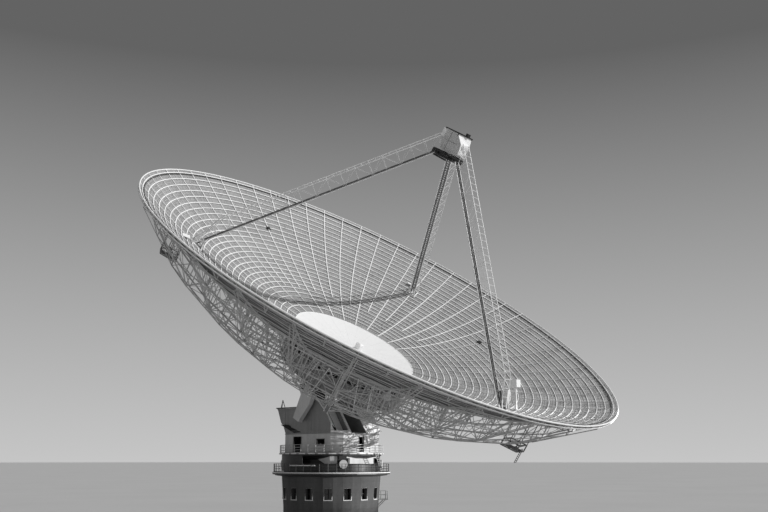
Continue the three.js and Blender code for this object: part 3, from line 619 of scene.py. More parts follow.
def build_turret_light():
    """A low light that reaches the turret's front under the dish."""
    data = bpy.data.lights.new("turret_light", "SPOT")
    data.energy = LOW_LIGHT_STRENGTH
    data.spot_size = LOW_LIGHT_CONE
    data.spot_blend = LOW_LIGHT_BLEND
    data.shadow_soft_size = LOW_LIGHT_SIZE
    away = at(math.cos(LOW_LIGHT_HEIGHT), LOW_LIGHT_ANGLE, math.sin(LOW_LIGHT_HEIGHT))
    turn = away.to_track_quat("Z", "Y").to_matrix().to_4x4()
    place = Matrix.Translation(LOW_LIGHT_AIM + away * LOW_LIGHT_DISTANCE)
    linked("turret_light", data).matrix_world = place @ turn


def build_sky():
    """An even sky that is pale at the horizon and darker above."""
    world = bpy.data.worlds.new("soft_light")
    world.use_nodes = True
    tree = world.node_tree
    direction = add(tree, "ShaderNodeTexCoord").outputs["Generated"]
    height = add(tree, "ShaderNodeSeparateXYZ", [(0, direction)]).outputs["Z"]
    grey = spread(tree, height, SKY_PALE, SKY_DARK, 0.0, SKY_DARK_HEIGHT)
    tree.links.new(grey, tree.nodes["Background"].inputs["Color"])
    bpy.context.scene.world = world
    bpy.context.scene.view_settings.view_transform = "Standard"


def build_floor():
    mesh = bpy.data.meshes.new("floor")
    corners = [(x * FLOOR_REACH, y * FLOOR_REACH, -FLOOR_DROP)
               for x, y in ((-1, -1), (1, -1), (1, 1), (-1, 1))]
    mesh.from_pydata(corners, [], [(0, 1, 2, 3)])
    mesh.materials.append(finish("floor", 0.54, 0.9, mottle=0.03, mottle_scale=0.05, grit=0.05))
    linked("floor", mesh)


# Dish
def curved(start, end, lift, count=26):
    """Points that run out along the dish, at the given height above it."""
    return [(r, 0, dish_height(r) + lift) for r in steps(start, end, count)]


def ring_piece(name, material, slot, lift, width, flatness, per_rail=1, **sizes):
    """The ring rails, or finer rings that divide the space between them."""
    share = 1 / per_rail
    whole = {"Count": RAIL_COUNT, "Inner Radius": FIRST_RAIL_RADIUS, "Spacing": RAIL_SPACING * share,
             "Closing": RAIL_CLOSING * share * share, "Facets": 180, "Focal Length": FOCAL_LENGTH,
             "Vertex Height": VERTEX_HEIGHT + lift, "Rail Width": width, "Flatness": flatness,
             "Sides": 4, "Girth": SQUARE_GIRTH, "Smooth": False, "Material": material, **sizes}
    piece = grown(name, bpy.data.meshes.new("start"), ring_rails, whole, place_on_dish)
    settle(piece, "dish")


def build_mesh():
    radii = steps(DISC_RADIUS, DISH_RADIUS - 0.22, 24)
    skin = [(r, dish_height(r)) for r in radii]
    skin += [(r, dish_height(r) - MESH_THICKNESS) for r in reversed(radii)]
    revolved("mesh_surface", skin, 180, mesh_panel, place_on_dish, "dish",
             all_nodes("mesh_sector"))
    ring_piece("ring_rails", rail_white, "galvanized_steel", 0.09, 0.12, 0.2)
    # The webs are painted near-black as painted shade under the mesh
    ring_piece("rail_webs", web_grey, "galvanized_steel", -0.01, 0.035, 5.0)
    ring_piece("mesh_wires", wire_grey, "mesh_panel", 0.015, WIRE_WIDTH, 1.0, WIRES_PER_RAIL,
               Count=WIRES_PER_RAIL * RAIL_COUNT + 1, Facets=120,
               **{"Inner Radius": FIRST_RAIL_RADIUS - RAIL_SPACING})


def build_radial_rails():
    """Long and short rails in turn, a few of them painted grey as painted shade, the wires, and two
    small dark hatches.
    """
    step = 360 / RIB_COUNT
    for name, start, first in (("radial_rails_long", DISC_RADIUS, 0),
                               ("radial_rails_short", SHORT_RAIL_START, step / 2)):
        rail = Drawing()
        rail.line(curved(start, DISH_RADIUS - 0.2, RADIAL_RAIL_LIFT), RADIAL_RAIL_WIDTH)
        on_dish(name, rail, rail_white, count=RIB_COUNT - SHADED_RAILS, first=first, step=step, flat=0.3)
        # The last few rails are painted grey as painted shade
        on_dish(name + "_dull", rail, wire_grey, count=SHADED_RAILS, first=first - SHADED_RAILS * step,
                step=step, flat=0.3)
    wire = Drawing()
    wire.line(curved(DISC_RADIUS, DISH_RADIUS - 0.3, 0.01, 14), WIRE_WIDTH)
    on_dish("radial_wires", wire, wire_grey, "mesh_panel", count=180, first=1)
    hatch = Drawing()
    for radius, angle in ((24.5, 89.9), (22.0, -5.5)):
        hatch.bars(0.62, (at(radius - 0.26, angle, dish_height(radius) + 0.05),
                          at(radius + 0.26, angle, dish_height(radius) + 0.17)))
    on_dish("mesh_hatches", hatch, dark_steel, "mesh_panel", flat=0.3)


def build_disc():
    radii = steps(0, DISC_RADIUS, 12)
    disc = [(max(r, 0.01), dish_height(r) + 0.02) for r in radii]
    disc += [(max(r, 0.01), dish_height(r) - 0.16) for r in reversed(radii)]
    revolved("centre_disc_skin", disc, 120, disc_white, place_on_dish, "dish",
             ["centre_disc"])
    edge = Drawing()
    edge.hoop(DISC_RADIUS + 0.03, dish_height(DISC_RADIUS), 0.1)
    edge.hoop(DISC_RADIUS - 0.1, dish_height(DISC_RADIUS) - 0.3, 0.2)
    on_dish("disc_edge", edge, rail_white, "white_paint")
    inner_seam, outer_seam = 1.2, 4.6
    seam = Drawing()
    seam.line(curved(inner_seam, DISC_RADIUS - 0.05, 0.02, 8), 0.02)
    on_dish("disc_seams", seam, disc_seam, "white_paint", count=24, flat=0.3)
    seam = Drawing()
    seam.hoop(inner_seam, dish_height(inner_seam) + 0.02, 0.02, 60)
    seam.hoop(outer_seam, dish_height(outer_seam) + 0.02, 0.02)
    on_dish("disc_ring_seams", seam, disc_seam, "white_paint", flat=0.3)


def build_rim():
    outside = DISH_RADIUS - 0.16
    top = dish_height(outside) - 0.12
    bottom = dish_height(DISH_RADIUS) - LOWER_RIM_DROP
    step = 360 / RIM_PANELS
    rim = Drawing()
    rim.hoop(DISH_RADIUS - 0.14, dish_height(DISH_RADIUS) - 0.04, 0.16, 180)
    on_dish("rim_pipe", rim, rail_white, "white_paint", sides=8, replaced=["rim_tube"])
    lower = Drawing()
    lower.hoop(outside, bottom, 0.1, 180)
    on_dish("rim_lower_rail", lower, rail_white, sides=6)
    inner = Drawing()
    inner_radius = DISH_RADIUS - INNER_RIM_INSET
    inner.hoop(inner_radius, dish_height(inner_radius) + 0.1, 0.09, 180)
    on_dish("rim_inner_rail", inner, web_grey, flat=1.6)
    lacing = Drawing()
    lacing.bars(0.04, (at(outside, 0, top), at(outside, step / 2, bottom)),
                (at(outside, step / 2, bottom), at(outside, step, top)))
    on_dish("rim_lacing", lacing, lattice_grey, count=RIM_PANELS)
    bracket = Drawing()
    root = DISH_RADIUS - BRACKET_INSET
    knee = at(root, 0, dish_height(root) - 0.6)
    bracket.bars(0.08, (at(outside, 0, top), knee), (knee, at(root, 0, dish_height(root))))
    on_dish("rim_brackets", bracket, lattice_grey, count=2 * RIB_COUNT)


def build_ribs():
    """Each rib has one upper chord, two lower ones, and posts and diagonals between them."""
    top = [Vector((r, 0, upper_height(r))) for r in RIB_STATIONS]
    low = [Vector((r, 0, lower_height(r))) for r in RIB_STATIONS]
    rib = Drawing()
    rib.line(top, UPPER_CHORD_WIDTH)
    for side in (-1, 1):
        rib.line([p + Vector((0, side * LOWER_CHORD_HALF_GAP, 0)) for p in low], LOWER_CHORD_WIDTH)
    rib.ladder(top, low, POST_WIDTH)
    rib.zigzag(top, low, DIAGONAL_WIDTH)
    rib.ladder(top, [Vector((p.x, 0, dish_height(p.x))) for p in top], 0.08)
    for radius in steps(RIB_STATIONS[0], RIB_STATIONS[-2], 18):
        height = lower_height(radius)
        rib.bars(TIE_WIDTH, ((radius, -LOWER_CHORD_HALF_GAP, height),
                             (radius, LOWER_CHORD_HALF_GAP, height)))
    on_dish("ribs", rib, lattice_grey, count=RIB_COUNT, first=RIB_FIRST,
            replaced=all_nodes("inner_frame") + all_nodes("outer_frame"))


def build_bracing():
    """One bay's bars between two ribs: hoops above and below, diagonals and crosses."""
    step = 360 / RIB_COUNT
    bay = Drawing()

    def pair(radius, height):
        return at(radius, 0, height), at(radius, step, height)

    for i, radius in enumerate(RIB_STATIONS[1:], 1):
        high, bottom = upper_height(radius), lower_height(radius)
        before = RIB_STATIONS[i - 1]
        bay.bars(0.08, pair(radius, high))
        if i < len(RIB_STATIONS) - 1:
            bay.bars(POST_WIDTH, pair(radius, bottom))
        low_here, low_there = pair(radius, bottom)
        if i % 2:
            bay.bars(DIAGONAL_WIDTH, (at(before, 0, lower_height(before)), low_there))
        if radius in SWAY_STATIONS:
            top_here, top_there = pair(radius, high)
            bay.bars(SWAY_WIDTH, (top_here, low_there), (top_there, low_here))
            bay.bars(SWAY_WIDTH, pair(radius, (high + bottom) / 2))
    on_dish("frame_bracing", bay, lattice_grey, count=RIB_COUNT, first=RIB_FIRST)

    props = Drawing()
    for radius in PROP_STATIONS:
        height = upper_height(radius)
        head = at(radius + 0.4, step / 2, dish_height(radius + 0.4) - 0.22)
        props.bars(TIE_WIDTH, (Vector((radius, 0, height)), head), (at(radius, step, height), head))
    on_dish("mesh_props", props, lattice_grey, count=RIB_COUNT, first=RIB_FIRST)

    girder = Drawing()
    girder.line(curved(DISC_RADIUS + 0.1, FOOT_RADIUS - 2.8, -0.2, 12), 1.0)
    on_dish("leg_girders", girder, web_grey, count=3, first=FOOT_FIRST, flat=0.08)


def build_hub():
    """The wide drum's seams and bands, and a row of black bars along its top as painted shade of the
    gaps.
    """
    radius, bottom, top = DISC_RADIUS, HUB_BANDS[0][0], HUB_BANDS[-1][0]
    seam = Drawing()
    seam.bars(0.07, (at(radius + 0.01, 0, bottom), at(radius + 0.01, 0, top - 0.05)))
    on_dish("hub_seams", seam, hub_grey, "grey_paint", count=RIB_COUNT, first=RIB_FIRST)
    bands = Drawing()
    for height, width in HUB_BANDS:
        bands.hoop(radius + 0.02, height, width, 60)
    on_dish("hub_bands", bands, hub_grey, "grey_paint")
    # Black bars as painted shade of the gaps along the drum's top
    gap_shade = Drawing()
    gap_shade.bars(0.46, (at(radius - 0.15, -2.5, HUB_GAP_SHADE_HEIGHT),
                         at(radius - 0.15, 2.5, HUB_GAP_SHADE_HEIGHT)))
    on_dish("hub_gap_shade", gap_shade, painted_shade_black, "grey_paint", count=HUB_GAP_SHADE_MARKS, first=3)


def build_hub_rods():
    """Light rods and lines that pass in front of the drum, on both sides."""
    rods = Drawing()
    for start, end in HUB_RODS:
        rods.bars(0.11, (at(HUB_ROD_RADIUS, *start), at(HUB_ROD_RADIUS, *end)))
    on_dish("hub_rods", rods, strut_light, count=2, step=180)
    lines = Drawing()
    for height, first, last in ((3.7, 215.7, 243.9), (2.2, 225.9, 239.8)):
        lines.line([at(HUB_ROD_RADIUS, a, height) for a in steps(first, last, 6)], 0.07)
    for start, end in HUB_LINES:
        lines.bars(0.07, (at(HUB_ROD_RADIUS, *start), at(HUB_ROD_RADIUS, *end)))
    on_dish("hub_lines", lines, strut_light, count=2, step=180)


def build_hub_strut():
    """The thick strut in front of the drum, its light edges and stays, and a box near it."""
    high = at(HUB_STRUT_RADIUS, HUB_STRUT_ANGLE, upper_height(HUB_STRUT_RADIUS) - 0.1)
    low = at(HUB_STRUT_RADIUS, HUB_STRUT_ANGLE, lower_height(HUB_STRUT_RADIUS) - 0.7)
    strut = Drawing()
    strut.bars(0.42, (high, low))
    on_dish("hub_strut", strut, turret_grey, "grey_paint")
    edges = Drawing()
    across = at(0.24, HUB_STRUT_ANGLE + 90, 0)
    outward = at(0.2, HUB_STRUT_ANGLE, 0)
    for side in (-1, 1):
        edges.bars(0.06, (high + across * side + outward, low + across * side + outward))
    on_dish("hub_strut_edges", edges, strut_light)
    stay = Drawing()
    for degrees in (-12, 12):
        stay.bars(0.08, (low, at(11, HUB_STRUT_ANGLE + degrees, lower_height(11))),
                  (low, at(17, HUB_STRUT_ANGLE + degrees / 2, lower_height(17))))
    on_dish("hub_strut_stays", stay, lattice_grey)
    boxes("junction_box", [((13.6, -0.42, 6.15), (14.3, 0.42, 6.85), 245)], cabin_white,
          place_on_dish, "dish", 0.03)


def build_counterweights():
    outline = [(-2.1, -0.1), (-1.35, 0.6), (0.75, 0.6), (0.5, -0.5), (-0.35, -1.0),
               (-0.86, -4.05), (-1.97, -3.95), (-2.25, -1.2)]
    for side, x in (("left", -5), ("right", 5)):
        slabs(f"counterweight_plate_{side}", [(outline, x - 0.33, x + 0.33)], counterweight_paint,
              place_on_dish, "dish", [f"counterweight_{side}"])


# Tripod. A leg is drawn above the X axis, from its foot to the cabin
leg_foot = Vector((FOOT_RADIUS, 0, dish_height(FOOT_RADIUS) + 0.08 + PAD_TOP))
leg_head = Vector((LEG_HEAD_RADIUS, 0, LEG_HEAD_HEIGHT))
leg_outward = Vector((0, 1, 0)).cross((leg_head - leg_foot).normalized()).normalized()


def leg_main(share, side=0.0):
    """A point on the dark tubes, at the given share of the way up."""
    return leg_foot.lerp(leg_head, share) + Vector((0, side * LEG_TUBE_HALF_GAP, 0))


def leg_upper(share, side):
    """A point on the light chords, which lie outside the dark tubes."""
    depth = LEG_TIP_DEPTH + (LEG_DEPTH - LEG_TIP_DEPTH) * min(1, 8 * share)
    across = Vector((0, side * LEG_HALF_WIDTH, 0))
    return leg_foot.lerp(leg_head, share) + leg_outward * depth + across


def on_legs(name, drawing, material, **choices):
    on_dish(name, drawing, material, count=3, first=FOOT_FIRST, **choices)


def build_legs():
    heavy = Drawing()
    edges = Drawing()
    light = Drawing()
    for side in (-1, 1):
        # The heavy tubes are painted dark grey as painted shade
        heavy.bars(0.19, (leg_main(0, side), leg_main(1, side)))
        shift = Vector((0, side * 0.16, 0)) - leg_outward * 0.03
        edges.bars(0.13, (leg_main(0.01, side) + shift, leg_main(0.99, side) + shift))
        light.line([leg_upper(t, side) for t in steps(0.02, LEG_END, 30)], 0.1)
    batten = Drawing()
    for share in steps(0.02, 0.98, 2 * LEG_PANELS):
        batten.bars(0.1, (leg_main(share, -1), leg_main(share, 1)))
    on_legs("leg_main_chords", heavy, leg_grey, sides=8, replaced=all_nodes("tripod_leg"))
    on_legs("leg_light_edges", edges, leg_light, sides=6)
    on_legs("leg_battens", batten, leg_grey)
    on_legs("leg_light_chords", light, leg_light, sides=6)

    stops = steps(0.02, LEG_END - 0.02, LEG_PANELS)
    lacing = Drawing()
    left, right = [leg_upper(t, -1) for t in stops], [leg_upper(t, 1) for t in stops]
    lacing.ladder(left, right, 0.05)
    for row, side in ((left, -1), (right, 1)):
        lacing.ladder(row[::2], [leg_main(t, side) for t in stops[::2]], 0.04)
        lacing.zigzag(row[::2], [leg_main(t, side) for t in stops[::2]], 0.032)
    on_legs("leg_lacing", lacing, leg_light)


def build_leg_feet():
    """The frame under each foot, and the plate and locker beside the near one."""
    base = Drawing()
    slope = math.atan(FOOT_RADIUS / (2 * FOCAL_LENGTH))
    run = Vector((math.cos(slope), 0, math.sin(slope)))
    middle = Vector((FOOT_RADIUS, 0, dish_height(FOOT_RADIUS) + 0.12))
    corners = [middle + run * (0.75 * a) + Vector((0, 0.7 * b, 0))
               for a, b in ((-1, -1), (1, -1), (1, 1), (-1, 1))]
    sides = [math.copysign(1, corner.y) for corner in corners]
    base.line(corners, 0.16, True)
    base.ladder(corners, [leg_main(0.03, side) for side in sides], 0.12)
    base.ladder(corners[1:3], [leg_upper(0.04, side) for side in sides[1:3]], 0.12)
    on_legs("leg_feet", base, leg_light)

    plate = Drawing()
    plate.bars(0.45, (leg_upper(0.012, 1), leg_upper(0.075, 1)))
    on_dish("foot_gusset_plate", plate, panel_white, first=FOOT_FIRST, flat=0.15)
    locker = Drawing()
    beside = Vector((0, 0.42, 0))
    locker.bars(0.5, (leg_main(0.012, 1) + beside, leg_main(0.08, 1) + beside))
    on_dish("foot_locker", locker, leg_grey, first=FOOT_FIRST)


def build_foot_platforms():
    """Platforms that hang under the backing frame, a ladder, and a plate on the mesh by each foot."""
    inner, outer = PLATFORM_RADII[0], PLATFORM_RADII[-1]
    bottom = lower_height(25.6) - 0.65
    top = lower_height(25.6) + 0.15
    under = Drawing()
    floor = [Vector((r, y, bottom + (r - inner) * 0.2)) for r in PLATFORM_RADII for y in (-0.8, 0.8)]
    roof = [Vector((p.x, p.y, top + (p.x - inner) * 0.2)) for p in floor]
    for row in (floor, roof):
        under.line([row[0], row[1], row[3], row[5], row[4], row[2]], 0.12, True)
    under.ladder(floor, roof, 0.1)
    under.ladder(floor[:-2], roof[2:], 0.07)
    for y in (-0.4, 0, 0.4):
        under.bars(0.1, ((inner, y, bottom + 0.05), (outer, y, bottom + 0.45)))
    angles = [math.degrees(math.atan2(p.y, p.x)) for p in roof]
    under.ladder(roof, [at(p.x, a, upper_height(p.x)) for p, a in zip(roof, angles)], 0.07)
    on_dish("foot_platforms", under, leg_grey, count=2, first=FOOT_FIRST + 120, step=120)
    on_dish("foot_platform_near", under, leg_grey, first=NEAR_PLATFORM_ANGLE)
    ladder = Drawing()
    rows = [[Vector((outer + 0.1, y, z)) for z in steps(bottom - 0.9, top, 7)] for y in (-0.2, 0.2)]
    for row in rows:
        ladder.line(row, 0.05)
    ladder.ladder(*rows, 0.04)
    on_dish("foot_platform_ladder", ladder, leg_grey, first=NEAR_PLATFORM_ANGLE)
    cover = Drawing()
    height = dish_height(24.8) + 0.2
    cover.bars(0.9, (at(24.8, 0.6, height), at(24.8, 3.4, height)))
    on_legs("foot_mesh_plates", cover, rail_white, slot="mesh_panel", flat=0.06)


# Focus cabin
def build_focus_platform():
    deck = Drawing()
    middle = (PLATFORM_BOTTOM + PLATFORM_TOP) / 2
    ring = [at(2.0, 60 * i, PLATFORM_BOTTOM + 0.1) for i in range(6)]
    upper = [at(2.0, 60 * i, PLATFORM_TOP - 0.1) for i in range(6)]
    deck.line(ring, 0.18, True)
    deck.line(upper, 0.14, True)
    deck.ladder(ring, upper, 0.12)
    deck.bars(0.16, *((ring[i], ring[i + 3]) for i in range(3)))
    for i in range(6):
        deck.bars(0.09, (ring[i], upper[(i + 1) % 6]), (upper[i], ring[(i + 1) % 6]))
    for offset in steps(-1.3, 1.3, 8):
        reach = 1.72 - 0.5 * abs(offset) / 1.2
        deck.bars(0.1, ((-reach, offset, middle), (reach, offset, middle)))
    for height in (PLATFORM_BOTTOM - 0.12, PLATFORM_BOTTOM + 0.34):
        deck.bars(0.2, ((-1.75, 1.1, height), (-1.75, -1.5, height)))
    on_dish("focus_platform", deck, dark_steel, "dark_steel", replaced=["feed_platform"])


def build_cabin_shell():
    """The cabin lies between its left and right outlines. Its front faces are painted near-white as
    painted sunlight, and its other faces greyer as painted shade.
    """
    shape = bmesh.new()
    rows = []
    for x, front_x, outline in ((-1.35, -1.15, CABIN_LEFT), (1.35, 1.2, CABIN_RIGHT)):
        row = [shape.verts.new((front_x if y < -1.3 else x, y, z)) for y, z in outline]
        rows.append(row)
        shape.faces.new(row)
    for i in range(len(CABIN_LEFT)):
        j = (i + 1) % len(CABIN_LEFT)
        shape.faces.new((rows[0][i], rows[0][j], rows[1][j], rows[1][i]))
    bmesh.ops.recalc_face_normals(shape, faces=shape.faces[:])
    bmesh.ops.bevel(shape, geom=shape.edges[:], offset=0.035, segments=2, affect="EDGES")
    # Lit and shaded copies of the white paint: front faces as painted sunlight, the rest as painted
    # shade
    for face in shape.faces:
        face.material_index = 1 if face.normal.y < -0.4 else 0
    formed("cabin_shell", shape, [cabin_white, panel_white], place_on_dish, "dish",
           ["focus_cabin"])


def build_cabin_fittings():
    seams = Drawing()
    for x in (-1.36, 1.36):
        seams.bars(0.03, ((x, 1.0, 34.8), (x, -1.6, 34.8)), ((x, -0.2, 33.7), (x, -0.2, 35.95)))
    on_dish("cabin_seams", seams, turret_grey, "white_paint")
    roof = Drawing()
    height = CABIN_TOP + 0.1
    corners = [(-1.35, 1.0, height), (-1.35, -1.2, height), (1.35, -1.25, height), (1.35, 1.0, height)]
    roof.line(corners, 0.12, True)
    for x, y, z in corners:
        roof.bars(0.07, ((x * 0.97, y * 0.97, z), (x * 0.97, y * 0.97, z - 0.35)))
    roof.bars(0.36, ((0.1, -1.2, height + 0.22), (0.55, -1.25, height + 0.22)))
    on_dish("cabin_roof_edge", roof, dark_steel, "dark_steel")
    tank = Drawing()
    tank.bars(0.5, ((-1.45, 0.92, 34.95), (-1.45, 0.92, 35.95)))
    on_dish("cabin_tank", tank, strut_light, "white_paint", sides=12)
    stays = Drawing()
    low, high = (0.9, -1.5, 33.4), (1.1, -1.65, 35.0)
    stays.bars(0.1, ((-0.9, -2.0, 33.9), (1.1, -1.65, 33.6)), ((-0.7, -2.1, 34.9), low),
               ((0.2, -1.9, 34.95), (1.15, -1.65, 33.7)), (low, high))
    on_dish("cabin_front_stays", stays, strut_light)


def build_vertex():
    boxes("vertex_cover", [((0.12, -0.78, 6.02), (0.98, 0.08, 6.98), 0)], panel_white,
          place_on_dish, "dish", 0.16, ["vertex_box"])


# Turret
def railing(name, radius, bottom, posts, make, replaced, material, width):
    post = Drawing()
    post.bars(width, (at(radius, 0, bottom), at(radius, 0, bottom + RAILING_HEIGHT - 0.03)))
    step = 360 / posts
    for share in (0.06, 0.36, 0.66, 0.97):
        height = bottom + RAILING_HEIGHT * share
        post.bars(width * 0.9, (at(radius, 0, height), at(radius, step, height)))
    make(name, post, material, count=posts, replaced=[replaced])


def housing_plan(beyond):
    """The housing's sides and front in plan, moved outwards by the given amount."""
    x, front = HOUSING_X + beyond, HOUSING_FRONT - beyond
    cut = HOUSING_CORNER + 0.4 * beyond
    return [(-x, HOUSING_REAR), (-x, front + cut), (-x + cut, front), (x - cut, front),
            (x, front + cut), (x, HOUSING_REAR)]


def build_deck():
    railing("deck_rails", 6.48, DECK_TOP, 40, on_turret, "deck_railing", railing_grey, 0.05)
    edge = Drawing()
    edge.hoop(6.52, DECK_TOP - 0.08, 0.13, 96)
    on_turret("deck_edge", edge, frame_pale, "grey_paint")


def build_housing_trims():
    trim = Drawing()
    plan = housing_plan(0.04)
    trim.line([(x, y, ROOF_TOP - 0.06) for x, y in plan], 0.09)
    trim.line([(x, y, DECK_TOP + 0.08) for x, y in plan], 0.12)
    on_turret("housing_trims", trim, turret_grey, "white_paint")
    frames = Drawing()
    for x in (-HOUSING_X - 0.02, HOUSING_X + 0.02):
        for y0, y1, z0, z1 in ((1.07, 2.47, 0.03, 2.0), (-2.96, -1.6, 0.92, 1.68)):
            low, high = DECK_TOP + z0, DECK_TOP + z1
            frames.line([(x, y0, low), (x, y0, high), (x, y1, high), (x, y1, low)], 0.07, z0 > 0.5)
    front = HOUSING_FRONT - 0.02
    door_top = DECK_TOP + 1.95
    frames.line([(-0.45, front, DECK_TOP), (-0.45, front, door_top), (0.45, front, door_top),
                 (0.45, front, DECK_TOP)], 0.07)
    on_turret("housing_door_frames", frames, turret_grey, "white_paint")
    # Black plates in the vent hollows under the rear housing, as painted shade
    vent = [(5.05, 17.95), (3.97, 17.93), (1.12, 16.95), (2.62, 16.9)]
    slabs("vent_painted_shade", [(vent, x - 0.19, x + 0.19) for x in (-4.02, 4.02)], painted_shade_black,
          place_on_ground, "turret")


def build_cheeks():
    """Seams and edges of the cheeks and the rear housing; on the cheeks' sloping fronts, near-white
    flanges and a cover as painted sunlight, and a black strip as painted shade.
    """
    seams = Drawing()
    for side in (-1, 1):
        x = side * (CHEEK_OUTSIDE + 0.005)
        seams.bars(0.05, ((x, -4.6, 17.1), (x, 3.1, 17.1)), ((x, -2.2, 20.5), (x, 1.8, 20.1)),
                   ((x, -0.6, 17.1), (x, -0.6, 20.9)))
        rear = side * REAR_OUTSIDE
        seams.bars(0.05, ((rear, 1.95, 19.8), (rear, 5.7, 19.8)),
                   ((rear, 4.4, 17.4), (rear, 4.4, 19.9)))
    on_turret("cheek_seams", seams, turret_grey, "grey_paint")
    roof = Drawing()
    x = REAR_OUTSIDE + 0.015
    corners = ((-x, 1.95), (-x, 6.1), (x, 6.1), (x, 1.95))
    roof.line([(x, y, REAR_ROOF) for x, y in corners], 0.1, True)
    on_turret("rear_roof_edge", roof, dark_steel, "grey_paint")
    # Near-white flanges as painted sunlight, and a black strip along the outer front edge as painted
    # shade
    for name, material, places in (("cheek_flanges", panel_white, (-1.53, 1.53, 4.12)),
                                   ("cheek_shade_strip", painted_shade_black, (-4.0,))):
        flange = Drawing()
        for x in places:
            flange.bars(0.36, ((x, -4.48, 17.05), (x, -2.1, 20.7)))
        on_turret(name, flange, material, "grey_paint", flat=0.14)
    # A near-white plate across the right cheek's recess, as painted sunlight
    cover = [(-4.66, 16.86), (-2.16, 20.72), (-2.08, 20.68), (-4.58, 16.86)]
    slabs("cheek_cover", [(cover, 1.72, 3.93)], panel_white, place_on_ground, "turret")


def build_skirts():
    """The plates that hang from the deck, and the guard, pipe and covers round the rollers."""
    side = [(-0.97, SKIRT_TOP), (-3.15, SKIRT_BOTTOM), (-3.93, SKIRT_BOTTOM), (-3.93, SKIRT_TOP)]
    outlines = [(side, x - 0.025, x + 0.025) for x in (-4.34, 4.34)]
    front = [(HOUSING_FRONT - 0.07, SKIRT_TOP), (HOUSING_FRONT - 0.07, SKIRT_BOTTOM),
             (HOUSING_FRONT - 0.02, SKIRT_BOTTOM), (HOUSING_FRONT - 0.02, SKIRT_TOP)]
    outlines.append((front, -2.15, 2.15))
    short = [(y, max(z, 13.82)) for y, z in front]
    outlines += [(short, -3.2, -2.15), (short, 2.15, 3.2)]
    slabs("apron_skirts", outlines, turret_white, place_on_ground, "turret")

    guard_bottom, guard_top = TRACK_TOP - 0.1, 13.05
    wall = [(6.2, guard_bottom), (6.27, guard_bottom), (6.27, guard_top), (6.2, guard_top)]
    revolved("roller_guard", wall, 96, dark_steel, place_on_ground, "turret", smooth=False)
    screen = Drawing()
    screen.line([at(6.22, a, 13.57) for a in steps(100, 190, 30)], 0.06)
    on_turret("rear_screen", screen, dark_steel, "dark_steel", flat=18)
    pipe = Drawing()
    pipe_height = 12.92
    pipe.line([at(6.36, a, pipe_height) for a in steps(172, 206, 12)], 0.12)
    for angle in (174, 184, 194, 204):
        pipe.bars(0.08, (at(6.25, angle, pipe_height), at(6.4, angle, pipe_height)))
    on_turret("drum_pipe", pipe, strut_light, "dark_steel", sides=6)
    for i, angle in enumerate(ROLLER_ANGLES):
        cover = Drawing()
        cover.bars(1.0, (at(6.13, angle, 13.08), at(6.44, angle, 13.08)))
        on_turret(f"roller_cover_{i + 1}", cover, turret_white, "grey_paint", sides=16)
    corners = [((5.81, y, SKIRT_BOTTOM), (5.87, y + 0.85, SKIRT_TOP), turn)
               for y, turn in ((-0.27, 225), (-0.58, 315))]
    boxes("corner_skirts", corners, turret_white, place_on_ground, "turret", 0.01)


def build_deck_ladder():
    ladder = Drawing()
    face, foot_height, top_height = 6.68, SLAB_TOP + 0.1, DECK_TOP - 0.04
    rows = []
    for shift in (0, 0.55):
        top = at(face, LADDER_ANGLE, top_height) + at(-0.6 + shift, LADDER_ANGLE + 90, 0)
        foot = at(face, LADDER_ANGLE, foot_height) + at(0.75 + shift, LADDER_ANGLE + 90, 0)
        rows.append([top.lerp(foot, t) for t in steps(0.04, 0.96, 9)])
        ladder.bars(0.08, (top, foot))
    ladder.ladder(*rows, 0.05)
    on_turret("deck_ladder_bars", ladder, railing_grey, replaced=["deck_ladder"])


# Tower
def build_gallery():
    # The gallery rails are near-black as painted shade
    railing("gallery_rails", 7.2, SLAB_TOP, 44, on_tower, "gallery_railing", rail_dull, 0.04)
    fascia = Drawing()
    fascia.hoop(GALLERY_RADIUS, WALL_TOP + 0.22, 0.09, 96)
    on_tower("gallery_edge", fascia, rail_white, "pale_concrete")
    # A dark ring under the gallery slab, as painted shadow of the overhang
    wall = TOWER_RADIUS + 0.06
    soffit = [(wall, WALL_TOP - 0.26), (GALLERY_RADIUS - 0.35, WALL_TOP - 0.12),
              (GALLERY_RADIUS - 0.19, WALL_TOP + 0.08), (wall, WALL_TOP + 0.08)]
    revolved("gallery_soffit_shadow", soffit, 96, dark_steel, place_on_ground, "tower")


def build_windows():
    """The surrounds and bars of each storey. The lowest storey has a door in one window's place."""
    half = WINDOW_WIDTH / 2 + 0.05
    inner = TOWER_RADIUS - 0.28
    for storey, sill in enumerate(WINDOW_SILLS):
        row = {"count": WINDOW_COUNT, "first": WINDOW_FIRST, "left_out": -1 if storey else 4}
        outside = TOWER_RADIUS + (0.005 if storey < 2 else 0.06)
        low, high = sill - 0.03, sill + WINDOW_HEIGHT + 0.03
        surround = Drawing()
        surround.line([(outside, -half, low), (outside, half, low), (outside, half, high),
                       (outside, -half, high)], 0.13, True)
        on_tower(f"window_surrounds_{storey + 1}", surround, frame_pale, "pale_concrete", **row)
        bars = Drawing()
        middle = sill + WINDOW_HEIGHT / 2
        bars.bars(0.05, ((inner, 0, sill), (inner, 0, sill + WINDOW_HEIGHT)),
                  ((inner, -half, middle), (inner, half, middle)))
        on_tower(f"window_bars_{storey + 1}", bars, dark_steel, "pale_concrete", **row)


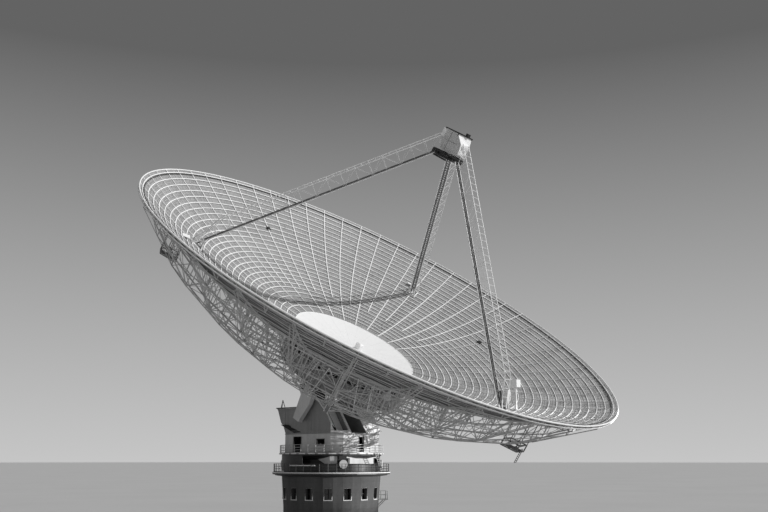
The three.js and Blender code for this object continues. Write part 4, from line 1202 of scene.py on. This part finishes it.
def build_wall_trims():
    joint = Drawing()
    for height in (4.1, 7.8):
        joint.hoop(TOWER_RADIUS + 0.005, height, 0.06, 32, WINDOW_FIRST + 360 / WINDOW_COUNT / 4)
    on_tower("wall_joints", joint, tower_concrete, "grey_concrete")
    door = Drawing()
    turn = Matrix.Rotation(math.radians(DOOR_ANGLE), 4, "Z")
    corners = ((-0.66, 0), (-0.66, 2.5), (0.66, 2.5), (0.66, 0))
    door.line([turn @ Vector((TOWER_RADIUS - 0.02, y, z)) for y, z in corners], 0.12)
    on_tower("tower_door_surround", door, frame_pale, "pale_concrete")


# Solids that show as they are
def in_turret_room(point):
    x, y, z = point
    within = abs(x) < HOUSING_X - 0.12 and HOUSING_FRONT + 0.12 < y < HOUSING_REAR - 0.12
    return within and abs(x) - y < ROOM_CORNER and DECK_TOP < z < ROOF_TOP - 0.02


def paint_faces(node, material, chosen):
    """Gives a second finish to the faces that the given test chooses."""
    node.data.materials.append(material)
    for face in node.data.polygons:
        face.material_index = 1 if chosen(face) else 0


def dress_solids():
    finishes = {
        "grey_concrete": tower_concrete, "pale_concrete": pale_concrete, "window_glass": window_glass,
        "dark_steel": dark_steel, "grey_paint": turret_grey, "white_paint": turret_white,
        "galvanized_steel": railing_grey, "mesh_panel": mesh_panel}
    # The gallery slab's near-black paint is painted shade
    special = {"hub_drum": hub_grey, "instrument_post": panel_white, "gallery_slab": rail_dull}
    for part in frame["record"]["subparts"]:
        name = part["node"]
        node = frame["nodes"][name]
        node.data.materials.clear()
        node.data.materials.append(special.get(name, finishes[part["material_slot"]]))
        if name.startswith("housing"):
            # The room's inner faces are painted black as painted shade, so that the doorways and windows
            # look deep
            place = node.matrix_world
            paint_faces(node, painted_shade_black,
                        lambda face: in_turret_room(place @ face.center / MODEL_SCALE))
        if name.startswith("cheek"):
            # The sloping fronts are painted near-white as painted sunlight, lighter than the sides
            paint_faces(node, panel_white, lambda face: face.normal.y < -0.3)
        if part["material_slot"] == "grey_concrete":
            shape = bmesh.new()
            shape.from_mesh(node.data)
            shade_round(shape)
            shape.to_mesh(node.data)
            shape.free()


build_camera()
build_sun()
build_turret_light()
build_sky()
build_floor()
dress_solids()

build_mesh()
build_radial_rails()
build_disc()
build_rim()
build_ribs()
build_bracing()
build_hub()
build_hub_rods()
build_hub_strut()
build_counterweights()
build_legs()
build_leg_feet()
build_foot_platforms()
build_focus_platform()
build_cabin_shell()
build_cabin_fittings()
build_vertex()

build_deck()
build_housing_trims()
build_cheeks()
build_skirts()
build_deck_ladder()
build_gallery()
build_windows()
build_wall_trims()
